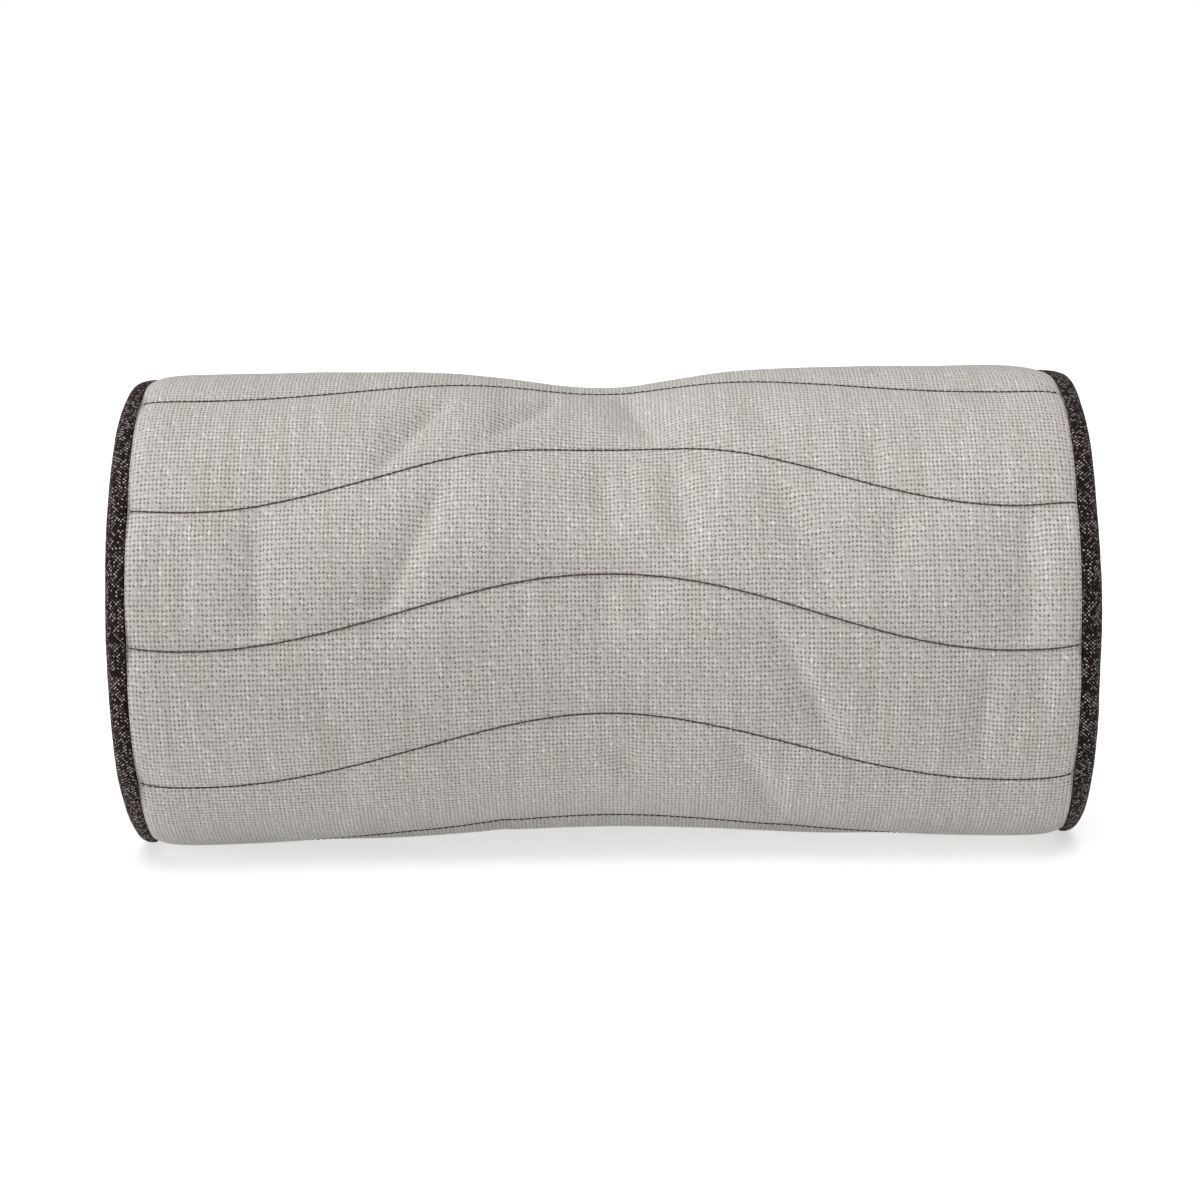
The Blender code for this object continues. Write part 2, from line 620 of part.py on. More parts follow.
def main():
    clear_scene()
    collection = bpy.data.collections.new("bolster_pillow")
    cutters = bpy.data.collections.new("cutters")
    bpy.context.scene.collection.children.link(collection)
    bpy.context.scene.collection.children.link(cutters)
    finishes = {
        "face": material("ivory_basket_weave", "B8B3AB", 0.9),
        "trim": material("dark_brown_melange", "40342F", 0.85),
        "thread": material("dark_brown_thread", "33271F", 0.6),
        "wadding": material("polyester_wadding", "F0F0EE", 0.95),
        "backing": material("white_cambric", "E4E1DA", 0.9),
        "cord": material("cotton_filler_cord", "DCD3C0", 0.9),
        "calico": material("unbleached_calico", "D9CDB4", 0.9),
        "fibre": material("polyester_fibre", "F4F4F2", 0.95),
        "foam": material("cream_foam", "E8D9A8", 0.9),
        "label": material("white_satin_ribbon", "EFEDE8", 0.5),
        "tape": material("dark_brown_zip_tape", "3A2E29", 0.8),
        "coil": material("brown_nylon_coil", "4A3B34", 0.4),
        "metal": material("antique_brass", "6E5A3C", 0.35, 1.0),
    }
    make_cover_panel(finishes["face"], collection)
    make_cover_wadding(finishes["wadding"], collection)
    make_cover_backing(finishes["backing"], collection)
    make_quilting_threads(finishes["thread"], collection)
    for name, side in (("left", -1), ("right", 1)):
        make_end(name, side, finishes, collection)
    make_casing_and_core(finishes, collection)
    make_care_label(finishes["label"], collection)
    frame = make_zip_frame(collection)
    make_zip_rows(finishes, frame, collection)
    make_slider(finishes["metal"], frame, collection, cutters)
    make_pull(finishes["metal"], frame, collection)


if __name__ == "__main__":
    main()
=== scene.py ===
"""A quilted bolster pillow: an ivory hopsack quilt, dark bias bands, a zip at the back and a foam insert.

The roll lies along X on the plane Z = 0. Angles round it are in degrees, start at the front (-Y) and grow
upwards. Lengths are in metres.
"""

import sys

import json
import logging
import math
import random
from collections.abc import Callable, Iterator, Sequence
from contextlib import contextmanager
from dataclasses import dataclass, field
from enum import Enum
from functools import partial

import bmesh
import bpy
import numpy as np
from mathutils import Matrix, Vector, noise
from mathutils.bvhtree import BVHTree

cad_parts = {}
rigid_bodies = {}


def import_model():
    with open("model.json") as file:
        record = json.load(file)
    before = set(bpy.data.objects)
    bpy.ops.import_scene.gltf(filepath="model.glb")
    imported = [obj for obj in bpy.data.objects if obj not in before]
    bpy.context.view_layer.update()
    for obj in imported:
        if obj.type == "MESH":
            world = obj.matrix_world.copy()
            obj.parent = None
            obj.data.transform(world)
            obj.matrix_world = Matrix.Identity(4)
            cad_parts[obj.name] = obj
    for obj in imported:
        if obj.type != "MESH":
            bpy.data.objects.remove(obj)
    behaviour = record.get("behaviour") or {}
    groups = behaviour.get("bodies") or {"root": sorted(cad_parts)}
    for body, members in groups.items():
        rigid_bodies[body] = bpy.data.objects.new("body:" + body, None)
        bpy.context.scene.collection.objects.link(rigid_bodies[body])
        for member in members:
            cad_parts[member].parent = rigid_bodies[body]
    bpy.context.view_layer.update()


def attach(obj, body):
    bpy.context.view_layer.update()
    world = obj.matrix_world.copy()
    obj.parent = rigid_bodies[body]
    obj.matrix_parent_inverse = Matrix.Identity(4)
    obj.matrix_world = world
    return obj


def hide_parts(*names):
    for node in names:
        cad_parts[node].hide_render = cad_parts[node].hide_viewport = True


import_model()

LOG = logging.getLogger("bolster_pillow")
MM = 0.001
CUSHION = "cushion"
CLOTH_UV = "cloth"

Array = np.ndarray
Grid = np.ndarray | float
Piece = bpy.types.Object
Socket = bpy.types.NodeSocket
Value = Socket | float | Sequence[float]
NodeAdder = Callable[..., Socket]
Route = Callable[[Array], Array]
Unevenness = Callable[[Array, Array], Array]


class End(Enum):
    """The two ends of the roll, seen from the front."""

    LEFT = -1
    RIGHT = 1

    def face(self, section: Array) -> Array:
        """Turns a section for the right end to this end, with X still growing along it."""
        return section if self is End.RIGHT else (section * [-1, 1])[::-1]


class ZipSide(Enum):
    """The two sides of the zip: its Y axis points down."""

    UPPER = -1
    LOWER = 1


class ClothLay(Enum):
    """How a turned piece's cloth was cut: as a strip round the roll, or as a flat disc."""

    STRIP = "strip"
    DISC = "disc"


# ------------------------------------------- Small tools --------------------------------------------


def mix(first: Grid, second: Grid, share: Grid) -> Grid:
    """Blend of two values, arrays or numbers."""
    return first + (second - first) * share


def smooth_step(low: float, high: float, value: Grid) -> Array:
    """0 below low, 1 above high, and a smooth climb between them."""
    share = np.clip((np.asarray(value, float) - low) / (high - low), 0.0, 1.0)
    return share * share * (3 - 2 * share)


def wrapped(angle: Grid) -> Grid:
    """The same angle, between -180 and 180 degrees."""
    return (angle + 180) % 360 - 180


def outward(angle: Array) -> Array:
    """Directions out of the roll, with one more axis, of X, Y and Z."""
    return np.stack([0 * angle, -np.cos(np.radians(angle)), np.sin(np.radians(angle))], axis=-1)


def ripple(x: Array, y: Array, z: float = 0.0) -> Array:
    """Smooth noise between about -1 and 1 at each pair of coordinates."""
    places = np.stack([x.ravel(), y.ravel()], axis=1)
    return np.array([noise.noise((a, b, z)) for a, b in places]).reshape(x.shape)


def linear(hex_colour: str) -> tuple[float, float, float, float]:
    """A colour as shaders take it.

    Args:
        hex_colour: sRGB hex digits, such as "B8B3AB".

    Returns:
        Linear red, green, blue and an alpha of 1.
    """
    values = [int(hex_colour[n : n + 2], 16) / 255 for n in (0, 2, 4)]
    return (*(v / 12.92 if v < 0.04045 else ((v + 0.055) / 1.055) ** 2.4 for v in values), 1.0)


def feed(node: bpy.types.Node, inputs: dict[int | str, Value]) -> None:
    """Sets or links a node's input sockets.

    Args:
        node: The node.
        inputs: For each input socket, by name or number, a value or the output that feeds it.
    """
    for key, value in inputs.items():
        if isinstance(value, Socket):
            node.id_data.links.new(value, node.inputs[key])
        else:
            node.inputs[key].default_value = value


def add_node(
    tree: bpy.types.NodeTree,
    kind: str,
    inputs: dict[int | str, Value] | None = None,
    out: int | str = 0,
    **settings: object,
) -> Socket:
    """Adds a shader node, with its settings, its values and its links.

    Args:
        tree: The tree that it joins.
        kind: Blender's name for it, after "ShaderNode".
        inputs: For each input socket, by name or number, a value or the output that feeds it.
        out: The output that is wanted, by name or number.
        settings: The node's own properties.

    Returns:
        The wanted output.
    """
    node = tree.nodes.new("ShaderNode" + kind)
    for name, setting in settings.items():
        setattr(node, name, setting)
    feed(node, inputs or {})
    return node.outputs[out]


def set_stops(ramp: bpy.types.ColorRamp, stops: dict[float, str]) -> None:
    """Sets a ramp's colours.

    Args:
        ramp: The ramp, still as it was made.
        stops: Hex colours by place.
    """
    for place in list(stops)[1:-1]:
        ramp.elements.new(place)
    for stop, (place, hex_colour) in zip(ramp.elements, stops.items()):
        stop.position = place
        stop.color = linear(hex_colour)


def add_object(name: str, data: bpy.types.ID) -> Piece:
    """A new object in the scene."""
    obj = bpy.data.objects.new(name, data)
    bpy.context.collection.objects.link(obj)
    return obj


def only(obj: Piece) -> None:
    """Selects this object alone, and makes it the active one."""
    for other in bpy.context.view_layer.objects:
        other.select_set(False)
    obj.select_set(True)
    bpy.context.view_layer.objects.active = obj


def pick_edges(obj: Piece, test: Callable[[Vector], bool]) -> None:
    """Enters edit mode with some of the piece's edges selected, and nothing else.

    Args:
        obj: The piece.
        test: Says whether an edge is wanted, from its middle.
    """
    only(obj)
    bpy.ops.object.mode_set(mode="EDIT")
    bpy.ops.mesh.select_mode(type="EDGE")
    bpy.ops.mesh.select_all(action="DESELECT")
    shape = bmesh.from_edit_mesh(obj.data)
    for edge in shape.edges:
        edge.select_set(test((edge.verts[0].co + edge.verts[1].co) / 2))
    bmesh.update_edit_mesh(obj.data)


@contextmanager
def opened(obj: Piece) -> Iterator[bmesh.types.BMesh]:
    """Opens a piece's mesh, and writes it back with what was changed.

    Args:
        obj: The piece.

    Yields:
        Its mesh, to be changed.
    """
    shape = bmesh.new()
    shape.from_mesh(obj.data)
    yield shape
    shape.to_mesh(obj.data)
    shape.free()


def weld(obj: Piece, distance: float = 1e-6) -> None:
    """Merges the points that lie in one place, such as at a pole."""
    with opened(obj) as shape:
        bmesh.ops.remove_doubles(shape, verts=shape.verts, dist=distance)


def modify(obj: Piece, kind: str, **settings: object) -> Piece:
    """Gives a piece a modifier and applies it.

    Args:
        obj: The piece.
        kind: Blender's name for the modifier.
        settings: The modifier's own properties.

    Returns:
        The piece.
    """
    modifier = obj.modifiers.new(kind.title(), kind)
    for name, setting in settings.items():
        setattr(modifier, name, setting)
    only(obj)
    bpy.ops.object.modifier_apply(modifier=modifier.name)
    return obj


def add_wall(obj: Piece, thickness: float) -> Piece:
    """Gives an open surface its thickness, inwards."""
    return modify(obj, "SOLIDIFY", thickness=thickness, offset=-1, use_even_offset=False)


def apply_place(obj: Piece, place: Matrix) -> Piece:
    """Moves the object's place into its mesh.

    Args:
        obj: The object.
        place: A further placing of the whole piece, such as the zip's frame.

    Returns:
        The object, at the origin.
    """
    bpy.context.view_layer.update()
    obj.data.transform(place @ obj.matrix_world)
    obj.matrix_world = Matrix.Identity(4)
    return obj


def grid_piece(name: str, points: Array, uv: Array, closed: bool = False) -> Piece:
    """Cloth surface through a grid of points.

    Args:
        name: The piece's name.
        points: Rows x columns x 3. Rows run along +X and columns grow with the angle, to face outwards.
        uv: Rows x columns x 2, in metres of cloth; one column more than points on a closed surface.
        closed: Whether the last column meets the first.

    Returns:
        The new object, shaded smooth.
    """
    rows, columns = points.shape[:2]
    spans = columns if closed else columns - 1
    row, column = (axis.ravel() for axis in np.meshgrid(np.arange(rows - 1), np.arange(spans), indexing="ij"))
    corners = [(row, column), (row + 1, column), (row + 1, column + 1), (row, column + 1)]
    faces = np.stack([r * columns + c % columns for r, c in corners], axis=1)
    mesh = bpy.data.meshes.new(name)
    mesh.vertices.add(rows * columns)
    mesh.vertices.foreach_set("co", np.ascontiguousarray(points, np.float32).ravel())
    mesh.loops.add(faces.size)
    mesh.loops.foreach_set("vertex_index", faces.astype(np.int32).ravel())
    mesh.polygons.add(len(faces))
    mesh.polygons.foreach_set("loop_start", np.arange(0, faces.size, 4, dtype=np.int32))
    mesh.update(calc_edges=True)
    layer = mesh.uv_layers.new(name=CLOTH_UV)
    corner_uv = np.stack([uv[r, c] for r, c in corners], axis=1)
    layer.data.foreach_set("uv", np.ascontiguousarray(corner_uv, np.float32).ravel())
    mesh.shade_smooth()
    return add_object(name, mesh)


# --------------------------------------------- Finishes ---------------------------------------------


@dataclass(frozen=True)
class Finish:
    """What every finish shares.

    Attributes:
        name: The material's name.
    """

    name: str

    def make(self) -> bpy.types.Material:
        """Builds the material."""
        made = bpy.data.materials.new(self.name)
        made.use_nodes = True
        feed(made.node_tree.nodes["Principled BSDF"], self.look(partial(add_node, made.node_tree)))
        return made

    def look(self, add: NodeAdder) -> dict[str, Value]:
        """What the shader's sockets take. Each finish has its own."""
        raise NotImplementedError


@dataclass(frozen=True)
class Weave:
    """Over-and-under crossing of two sets of threads, drawn on the piece's cloth coordinates.

    Attributes:
        pitch: From one thread, or group of threads, to the next: along the cloth's first axis and its second.
        turn: Angle at which the cloth was cut, in degrees.
        wobble: How unevenly the threads lie, as a share of the pitch.
        yarn: Number of crossings over which one yarn's tone changes.
        chance: How much of the tone is each crossing's own, and not its yarn's.
    """

    pitch: tuple[float, float]
    turn: float = 0.0
    wobble: float = 0.12
    yarn: float = 8.0
    chance: float = 0.3

    def count_threads(self, add: NodeAdder) -> tuple[Socket, Socket, Socket]:
        """Counts the threads across the cloth.

        Args:
            add: Adds a node to the material.

        Returns:
            The cloth's coordinates, the same counted in threads, and the count as the threads really wander.
        """
        cloth = add("UVMap", uv_map=CLOTH_UV)
        turned = add("Mapping", {0: cloth, "Rotation": (0, 0, math.radians(self.turn))})
        per_metre = (1 / self.pitch[0], 1 / self.pitch[1], 1)
        counted = add("VectorMath", {0: turned, 1: per_metre}, operation="MULTIPLY")
        drift = add("TexNoise", {"Vector": counted, "Scale": 0.45, "Detail": 4.0, "Roughness": 0.75}, "Color")
        centred = add("VectorMath", {0: drift, 1: (0.5, 0.5, 0.5)}, operation="SUBTRACT")
        reach = (5 * self.wobble, 5 * self.wobble, 0)
        threads = add("VectorMath", {0: centred, 1: reach, 2: counted}, operation="MULTIPLY_ADD")
        return cloth, counted, threads

    def raise_threads(self, add: NodeAdder, threads: Socket) -> list[Socket]:
        """Lays the two sets of threads over and under each other.

        Args:
            add: Adds a node to the material.
            threads: The wandering count.

        Returns:
            The height of the first set and of the second.
        """
        waves = add("VectorMath", {0: threads, 3: math.pi}, operation="SCALE")
        sines = add("VectorMath", {0: waves}, operation="SINE")
        bodies = add("VectorMath", {0: sines}, operation="ABSOLUTE")
        sine = add("SeparateXYZ", {0: sines}).node.outputs
        body = add("SeparateXYZ", {0: bodies}).node.outputs
        over = add("Math", {0: sine[0], 1: sine[1]}, operation="MULTIPLY")
        heights = []
        for axis, lean in ((0, 0.38), (1, -0.38)):
            rounded = add("Math", {0: body[axis], 1: 0.75}, operation="POWER")
            lift = add("Math", {0: over, 1: lean, 2: 0.62}, operation="MULTIPLY_ADD")
            heights.append(add("Math", {0: rounded, 1: lift}, operation="MULTIPLY"))
        return heights

    def fill_holes(self, add: NodeAdder, top: Socket, counted: Socket, threads: Socket) -> Socket:
        """Adds loose fibres: some holes are nearly closed by them, and others are wide open.

        Args:
            add: Adds a node to the material.
            top: Height of the upper threads.
            counted: The plain count of threads.
            threads: The wandering count.

        Returns:
            The height with its fibres.
        """
        hole = add("VectorMath", {0: threads, 1: (0.5, 0.5, 0)})
        whole = add("VectorMath", {0: hole}, operation="FLOOR")
        share = add("TexWhiteNoise", {"Vector": whole}, "Value", noise_dimensions="2D")
        fill = add("MapRange", {0: share, 1: 0.0, 2: 0.9, 3: 0.52, 4: 0.0})
        fuzz = add("TexNoise", {"Vector": counted, "Scale": 2.6, "Detail": 3.0, "Roughness": 0.8})
        rough = add("Math", {0: fuzz, 1: -0.5})
        hairy = add("Math", {0: rough, 1: 0.55, 2: top}, operation="MULTIPLY_ADD")
        return add("Math", {0: hairy, 1: fill, 2: 0.15}, operation="SMOOTH_MAX")

    def tone_yarns(self, add: NodeAdder, heights: list[Socket], threads: Socket) -> Socket:
        """Gives each yarn its tone.

        Args:
            add: Adds a node to the material.
            heights: Of the two sets of threads.
            threads: The wandering count.

        Returns:
            The tone of the upper yarn, from 0 to 1.
        """
        first_is_up = add("Math", {0: heights[0], 1: heights[1]}, operation="GREATER_THAN")
        yarns = []
        for stretch in ((0.9, 1 / self.yarn, 0.0), (1 / self.yarn, 0.9, 0.0)):
            drawn_out = add("VectorMath", {0: threads, 1: stretch}, operation="MULTIPLY")
            yarns.append(add("TexNoise", {"Vector": drawn_out, "Scale": 1.0, "Detail": 1.0}))
        quiet = add("MapRange", {0: yarns[1], 3: 0.25, 4: 0.75})
        yarn = add("Mix", {0: first_is_up, 2: quiet, 3: yarns[0]}, data_type="FLOAT")
        crossing = add("VectorMath", {0: threads}, operation="FLOOR")
        chance = add("TexWhiteNoise", {"Vector": crossing}, "Value", noise_dimensions="2D")
        return add("Mix", {0: self.chance, 2: yarn, 3: chance}, data_type="FLOAT")

    def draw(self, add: NodeAdder) -> tuple[Socket, Socket, Socket]:
        """Draws the weave.

        Args:
            add: Adds a node to the material.

        Returns:
            Height from 0 in the holes to 1 on the crowns, tone of the upper thread, and cloth coordinates.
        """
        cloth, counted, threads = self.count_threads(add)
        heights = self.raise_threads(add, threads)
        top = add("Math", {0: heights[0], 1: heights[1]}, operation="MAXIMUM")
        return self.fill_holes(add, top, counted, threads), self.tone_yarns(add, heights, threads), cloth


@dataclass(frozen=True)
class WovenCloth(Finish):
    """A woven cloth, its colours read from the holes between its threads up to their crowns: painted shade in
    the holes, painted highlight on the crowns.

    Attributes:
        weave: The thread pattern.
        colours: Hex colours of the holes, the threads' sides and their crowns, with painted shade in the
            holes and painted highlight on the crowns.
        fleck_and_highlight: Hex colour of the palest crowns: paler yarn picked by tone, and painted highlight
            where it is kept to the crowns.
        fleck_from: Tone from which a crown turns pale: the higher, the fewer.
        relief: Height of the threads.
        fleck_span: How gradually crowns turn pale above that tone.
        crown: Heights from which, and above which, a pale crown shows; there it is also painted highlight.
        slub: Strength of the long streaks that uneven yarn makes.
        sheen: How much the loose fibres catch light along the edges.
        shine: How much the fibres mirror, against a usual plastic's 0.5.
        roughness: Of the fibres.
    """

    weave: Weave
    colours: tuple[str, str, str]
    fleck_and_highlight: str
    fleck_from: float
    relief: float
    fleck_span: float = 0.24
    crown: tuple[float, float] = (0.45, 0.85)
    slub: float = 0.0
    sheen: float = 0.15
    shine: float = 0.25
    roughness: float = 0.9

    def colour_yarns(self, add: NodeAdder, height: Socket, tone: Socket) -> Socket:
        """Colours the threads from painted shade in the holes up to the pale crowns, where paler yarn and
        painted highlight show.

        Args:
            add: Adds a node to the material.
            height: Of the threads.
            tone: Of the upper yarn.

        Returns:
            The colour.
        """
        # The height ramp paints shade into the holes and highlight on to the crowns.
        yarns = add("ValToRGB", {0: height})
        set_stops(yarns.node.color_ramp, dict(zip((0.22, 0.5, 0.9), self.colours)))
        soft = {"interpolation_type": "SMOOTHSTEP"}
        # The pale yarn colour shows only on the crowns, where it is also painted highlight.
        pale = add("MapRange", {0: tone, 1: self.fleck_from, 2: self.fleck_from + self.fleck_span}, **soft)
        crown = add("MapRange", {0: height, 1: self.crown[0], 2: self.crown[1]}, **soft)
        pale_crown = add("Math", {0: pale, 1: crown}, operation="MULTIPLY")
        return add("Mix", {0: pale_crown, 6: yarns, 7: linear(self.fleck_and_highlight)}, 2, data_type="RGBA")

    def shade_yarns(self, add: NodeAdder, yarns: Socket, tone: Socket, cloth: Socket) -> Socket:
        """Shades the threads, and streaks them. The darker of the long streaks are also the browner ones.

        Args:
            add: Adds a node to the material.
            yarns: The threads' colour.
            tone: Of the upper yarn.
            cloth: The cloth's coordinates.

        Returns:
            The colour.
        """
        streaks = add("Mapping", {0: cloth, "Scale": (1 / (5 * MM), 1 / (60 * MM), 1)})
        streak = add("TexNoise", {"Vector": streaks, "Scale": 1.0, "Detail": 4.0})
        shade = add("MapRange", {0: streak, 1: 0.3, 2: 0.7, 3: 1 - self.slub, 4: 1 + self.slub})
        mottle = add("MapRange", {0: tone, 1: 0.2, 2: 0.8, 3: 0.88, 4: 1.12})
        total = add("Math", {0: shade, 1: mottle}, operation="MULTIPLY")
        toned = add("VectorMath", {0: yarns, 3: total}, operation="SCALE")
        warm = (1.0, 1 - 0.25 * self.slub, 1 - 0.6 * self.slub, 1.0)
        brown = add("MapRange", {0: streak, 1: 0.35, 2: 0.55, 3: 1.0, 4: 0.0})
        tint = add("Mix", {0: brown, 6: (1, 1, 1, 1), 7: warm}, 2, data_type="RGBA")
        return add("VectorMath", {0: toned, 1: tint}, operation="MULTIPLY")

    def look(self, add: NodeAdder) -> dict[str, Value]:
        """What the shader's sockets take.

        Args:
            add: Adds a node to the material.

        Returns:
            For each socket, a value or the output that feeds it.
        """
        height, tone, cloth = self.weave.draw(add)
        yarns = self.colour_yarns(add, height, tone)
        lumps = add("Math", {0: tone, 1: 0.4, 2: height}, operation="MULTIPLY_ADD")
        return {
            "Base Color": self.shade_yarns(add, yarns, tone, cloth),
            "Normal": add("Bump", {"Strength": 1.0, "Distance": self.relief, "Height": lumps}),
            "Roughness": self.roughness,
            "Specular IOR Level": self.shine,
            "Sheen Weight": self.sheen,
            "Sheen Roughness": 0.5,
        }


@dataclass(frozen=True)
class Fibrous(Finish):
    """Something soft with an open or a hairy surface, such as wadding, foam or rope.

    Attributes:
        dark: Hex colour of the hollows, darker there as painted shade.
        light: Hex colour of the crowns, paler there as painted highlight.
        grain: Size of a tuft or a cell.
        relief: Depth of the grain.
        cells: Whether the grain is round cells, as in foam, and not hair.
    """

    dark: str
    light: str
    grain: float
    relief: float
    cells: bool = False

    def look(self, add: NodeAdder) -> dict[str, Value]:
        """What the shader's sockets take.

        Args:
            add: Adds a node to the material.

        Returns:
            For each socket, a value or the output that feeds it.
        """
        place = add("TexCoord", out="Object")
        kind = "TexVoronoi" if self.cells else "TexNoise"
        grain = add(kind, {"Vector": place, "Scale": 1 / self.grain, "Detail": 4.0})
        # The grain that sets the bump also sets the colour: painted shade in the hollows, painted highlight
        # on the crowns.
        colour = add("ValToRGB", {0: grain})
        set_stops(colour.node.color_ramp, {0.25: self.dark, 0.7: self.light})
        return {
            "Base Color": colour,
            "Normal": add("Bump", {"Strength": 0.8, "Distance": self.relief, "Height": grain}),
            "Roughness": 0.95,
            "Specular IOR Level": 0.2,
            "Sheen Weight": 0.25,
        }


@dataclass(frozen=True)
class TwistedThread(Finish):
    """Sewing thread: plies laid round each other, seen as slanting ridges along the stitch.

    Attributes:
        dark: Hex colour between the plies, darker there as painted shade.
        light: Hex colour on them, paler there as painted highlight.
        ply_pitch: From one ply to the next.
        relief: Depth between the plies.
    """

    dark: str
    light: str
    ply_pitch: float = 0.5 * MM
    relief: float = 0.05 * MM

    def look(self, add: NodeAdder) -> dict[str, Value]:
        """What the shader's sockets take.

        Args:
            add: Adds a node to the material.

        Returns:
            For each socket, a value or the output that feeds it.
        """
        along = add("UVMap", uv_map=CLOTH_UV)
        # A wave node repeats 20 times in a length of 1 over its scale.
        wave = {"Vector": along, "Scale": 1 / (self.ply_pitch * 20), "Distortion": 0.6}
        plies = add("TexWave", wave, "Fac", bands_direction="DIAGONAL")
        # The wave that sets the bump also sets the colour: painted shade between the plies, painted highlight
        # on them.
        colour = add("ValToRGB", {0: plies})
        set_stops(colour.node.color_ramp, {0.0: self.dark, 1.0: self.light})
        return {
            "Base Color": colour,
            "Normal": add("Bump", {"Strength": 0.5, "Distance": self.relief, "Height": plies}),
            "Roughness": 0.6,
            "Sheen Weight": 0.15,
        }


@dataclass(frozen=True)
class HardFinish(Finish):
    """A hard surface with fine wear: worn plating, or drawn nylon.

    Attributes:
        base: Hex colour of most of the surface.
        worn: Hex colour where it is rubbed or thin.
        roughness: From the smoothest to the roughest patch.
        metallic: 1 on metal.
        grain: Depth of the fine unevenness.
        patch: Size of the patches.
    """

    base: str
    worn: str
    roughness: tuple[float, float]
    metallic: float
    grain: float
    patch: float = 3 * MM

    def look(self, add: NodeAdder) -> dict[str, Value]:
        """What the shader's sockets take.

        Args:
            add: Adds a node to the material.

        Returns:
            For each socket, a value or the output that feeds it.
        """
        place = add("TexCoord", out="Object")
        patches = add("TexNoise", {"Vector": place, "Scale": 1 / self.patch, "Detail": 6.0})
        colour = add("ValToRGB", {0: patches})
        set_stops(colour.node.color_ramp, {0.4: self.base, 0.72: self.worn})
        smoothest, roughest = self.roughness
        return {
            "Base Color": colour,
            "Roughness": add("MapRange", {0: patches, 1: 0.3, 2: 0.7, 3: roughest, 4: smoothest}),
            "Normal": add("Bump", {"Strength": 0.6, "Distance": self.grain, "Height": patches}),
            "Metallic": self.metallic,
        }


# Every finish of the pillow, by the record's material slot.
FINISHES: dict[str, Finish] = {
    # Spun-dyed polyester hopsack with a linen look: thread groups 1.6 by 2 mm apart leave small brown pits,
    # darkened by painted shade, between pale crossings that carry painted highlight, and thick-and-thin yarn
    # draws soft pale streaks round the roll.
    "face": WovenCloth(
        "linen_look_hopsack_woven",
        Weave((1.58 * MM, 2.03 * MM), wobble=0.21, yarn=12.0),
        ("523E2A", "A29F9A", "B4B2AE"),
        fleck_and_highlight="C1C0BD",
        fleck_from=0.56,
        relief=0.4 * MM,
        slub=0.06,
    ),
    # Dark melange hopsack cut on the bias: pale flecks of fibre in rows that slant at 45 degrees, kept to the
    # thread crowns, where they also carry painted highlight; the holes carry painted shade.
    "trim": WovenCloth(
        "dark_melange_bias_strip_woven",
        Weave((1.15 * MM, 1.15 * MM), turn=45.0, yarn=2.0, chance=0.8),
        ("050201", "130A09", "241917"),
        fleck_and_highlight="C2B4AE",
        fleck_from=0.3,
        relief=0.45 * MM,
        fleck_span=0.75,
        crown=(0.6, 0.95),
        sheen=0.02,
        shine=0.08,
    ),
    # Core-spun polyester thread, dark brown: a fine slanting ply and a dull shine.
    "thread": TwistedThread("polyester_thread_twisted", "1C100C", "45302A"),
    # Needle-punched polyester batting: white, matted hair.
    "wadding": Fibrous("polyester_batting_needled", "D8D8D4", "F5F5F3", grain=2.5 * MM, relief=0.5 * MM),
    # Cotton cambric: a tight, flat plain weave. Its real 0.4 mm thread spacing is drawn at 0.8 mm to show.
    "backing": WovenCloth(
        "cotton_cambric_woven",
        Weave((0.8 * MM, 0.8 * MM), wobble=0.08),
        ("B9B5AC", "DDDAD2", "EDEBE5"),
        fleck_and_highlight="F6F5F1",
        fleck_from=0.7,
        relief=0.08 * MM,
    ),
    # Soft cotton rope: matted cream strands.
    "cord": Fibrous("cotton_cord_braided", "B9AD95", "E6DECB", grain=1.2 * MM, relief=0.4 * MM),
    # Unbleached calico: plain weave whose darker specks are its holes, darkened by painted shade. Drawn at
    # twice its 0.5 mm spacing to show.
    "calico": WovenCloth(
        "cotton_calico_woven",
        Weave((1.0 * MM, 1.0 * MM), wobble=0.1),
        ("A29271", "D3C6AA", "E4DAC2"),
        fleck_and_highlight="F0E9D8",
        fleck_from=0.7,
        relief=0.12 * MM,
        slub=0.04,
    ),
    # Bonded polyester fibre: loose white hair with soft hollows.
    "fibre": Fibrous("polyester_fibre_bonded", "D2D4D4", "FAFAFA", grain=5 * MM, relief=1.2 * MM),
    # Polyurethane foam cut with a blade: open cells, cream that has yellowed a little.
    "foam": Fibrous("polyurethane_foam_cut", "C9B67F", "EFE3B8", grain=1.4 * MM, relief=0.4 * MM, cells=True),
    # Satin ribbon: smooth floats, a soft shine, and painted highlight on the crowns of the floats.
    "label": WovenCloth(
        "polyester_satin_woven",
        Weave((0.5 * MM, 1.0 * MM), wobble=0.05),
        ("D5D3CD", "ECEAE5", "F5F4F1"),
        fleck_and_highlight="FBFBF9",
        fleck_from=0.8,
        relief=0.03 * MM,
        roughness=0.45,
    ),
    # Knitted zip tape: fine dark ribs lengthwise.
    "tape": WovenCloth(
        "polyester_tape_knitted",
        Weave((1.4 * MM, 0.7 * MM), wobble=0.05),
        ("17110F", "33282A", "443735"),
        fleck_and_highlight="54463F",
        fleck_from=0.6,
        relief=0.15 * MM,
    ),
    # Nylon monofilament, drawn and dyed: smooth, with a waxy highlight.
    "coil": HardFinish(
        "nylon_monofilament_drawn", "3A2E2A", "5A4A42", roughness=(0.25, 0.4), metallic=0.0, grain=0.02 * MM
    ),
    # Zinc die casting with antique brass plating: its darker and rubbed brighter patches lie at random, not
    # in the hollows and on the edges.
    "metal": HardFinish(
        "zinc_antique_brass_plated", "6A5538", "8C7449", roughness=(0.25, 0.42), metallic=1.0, grain=0.01 * MM
    ),
}


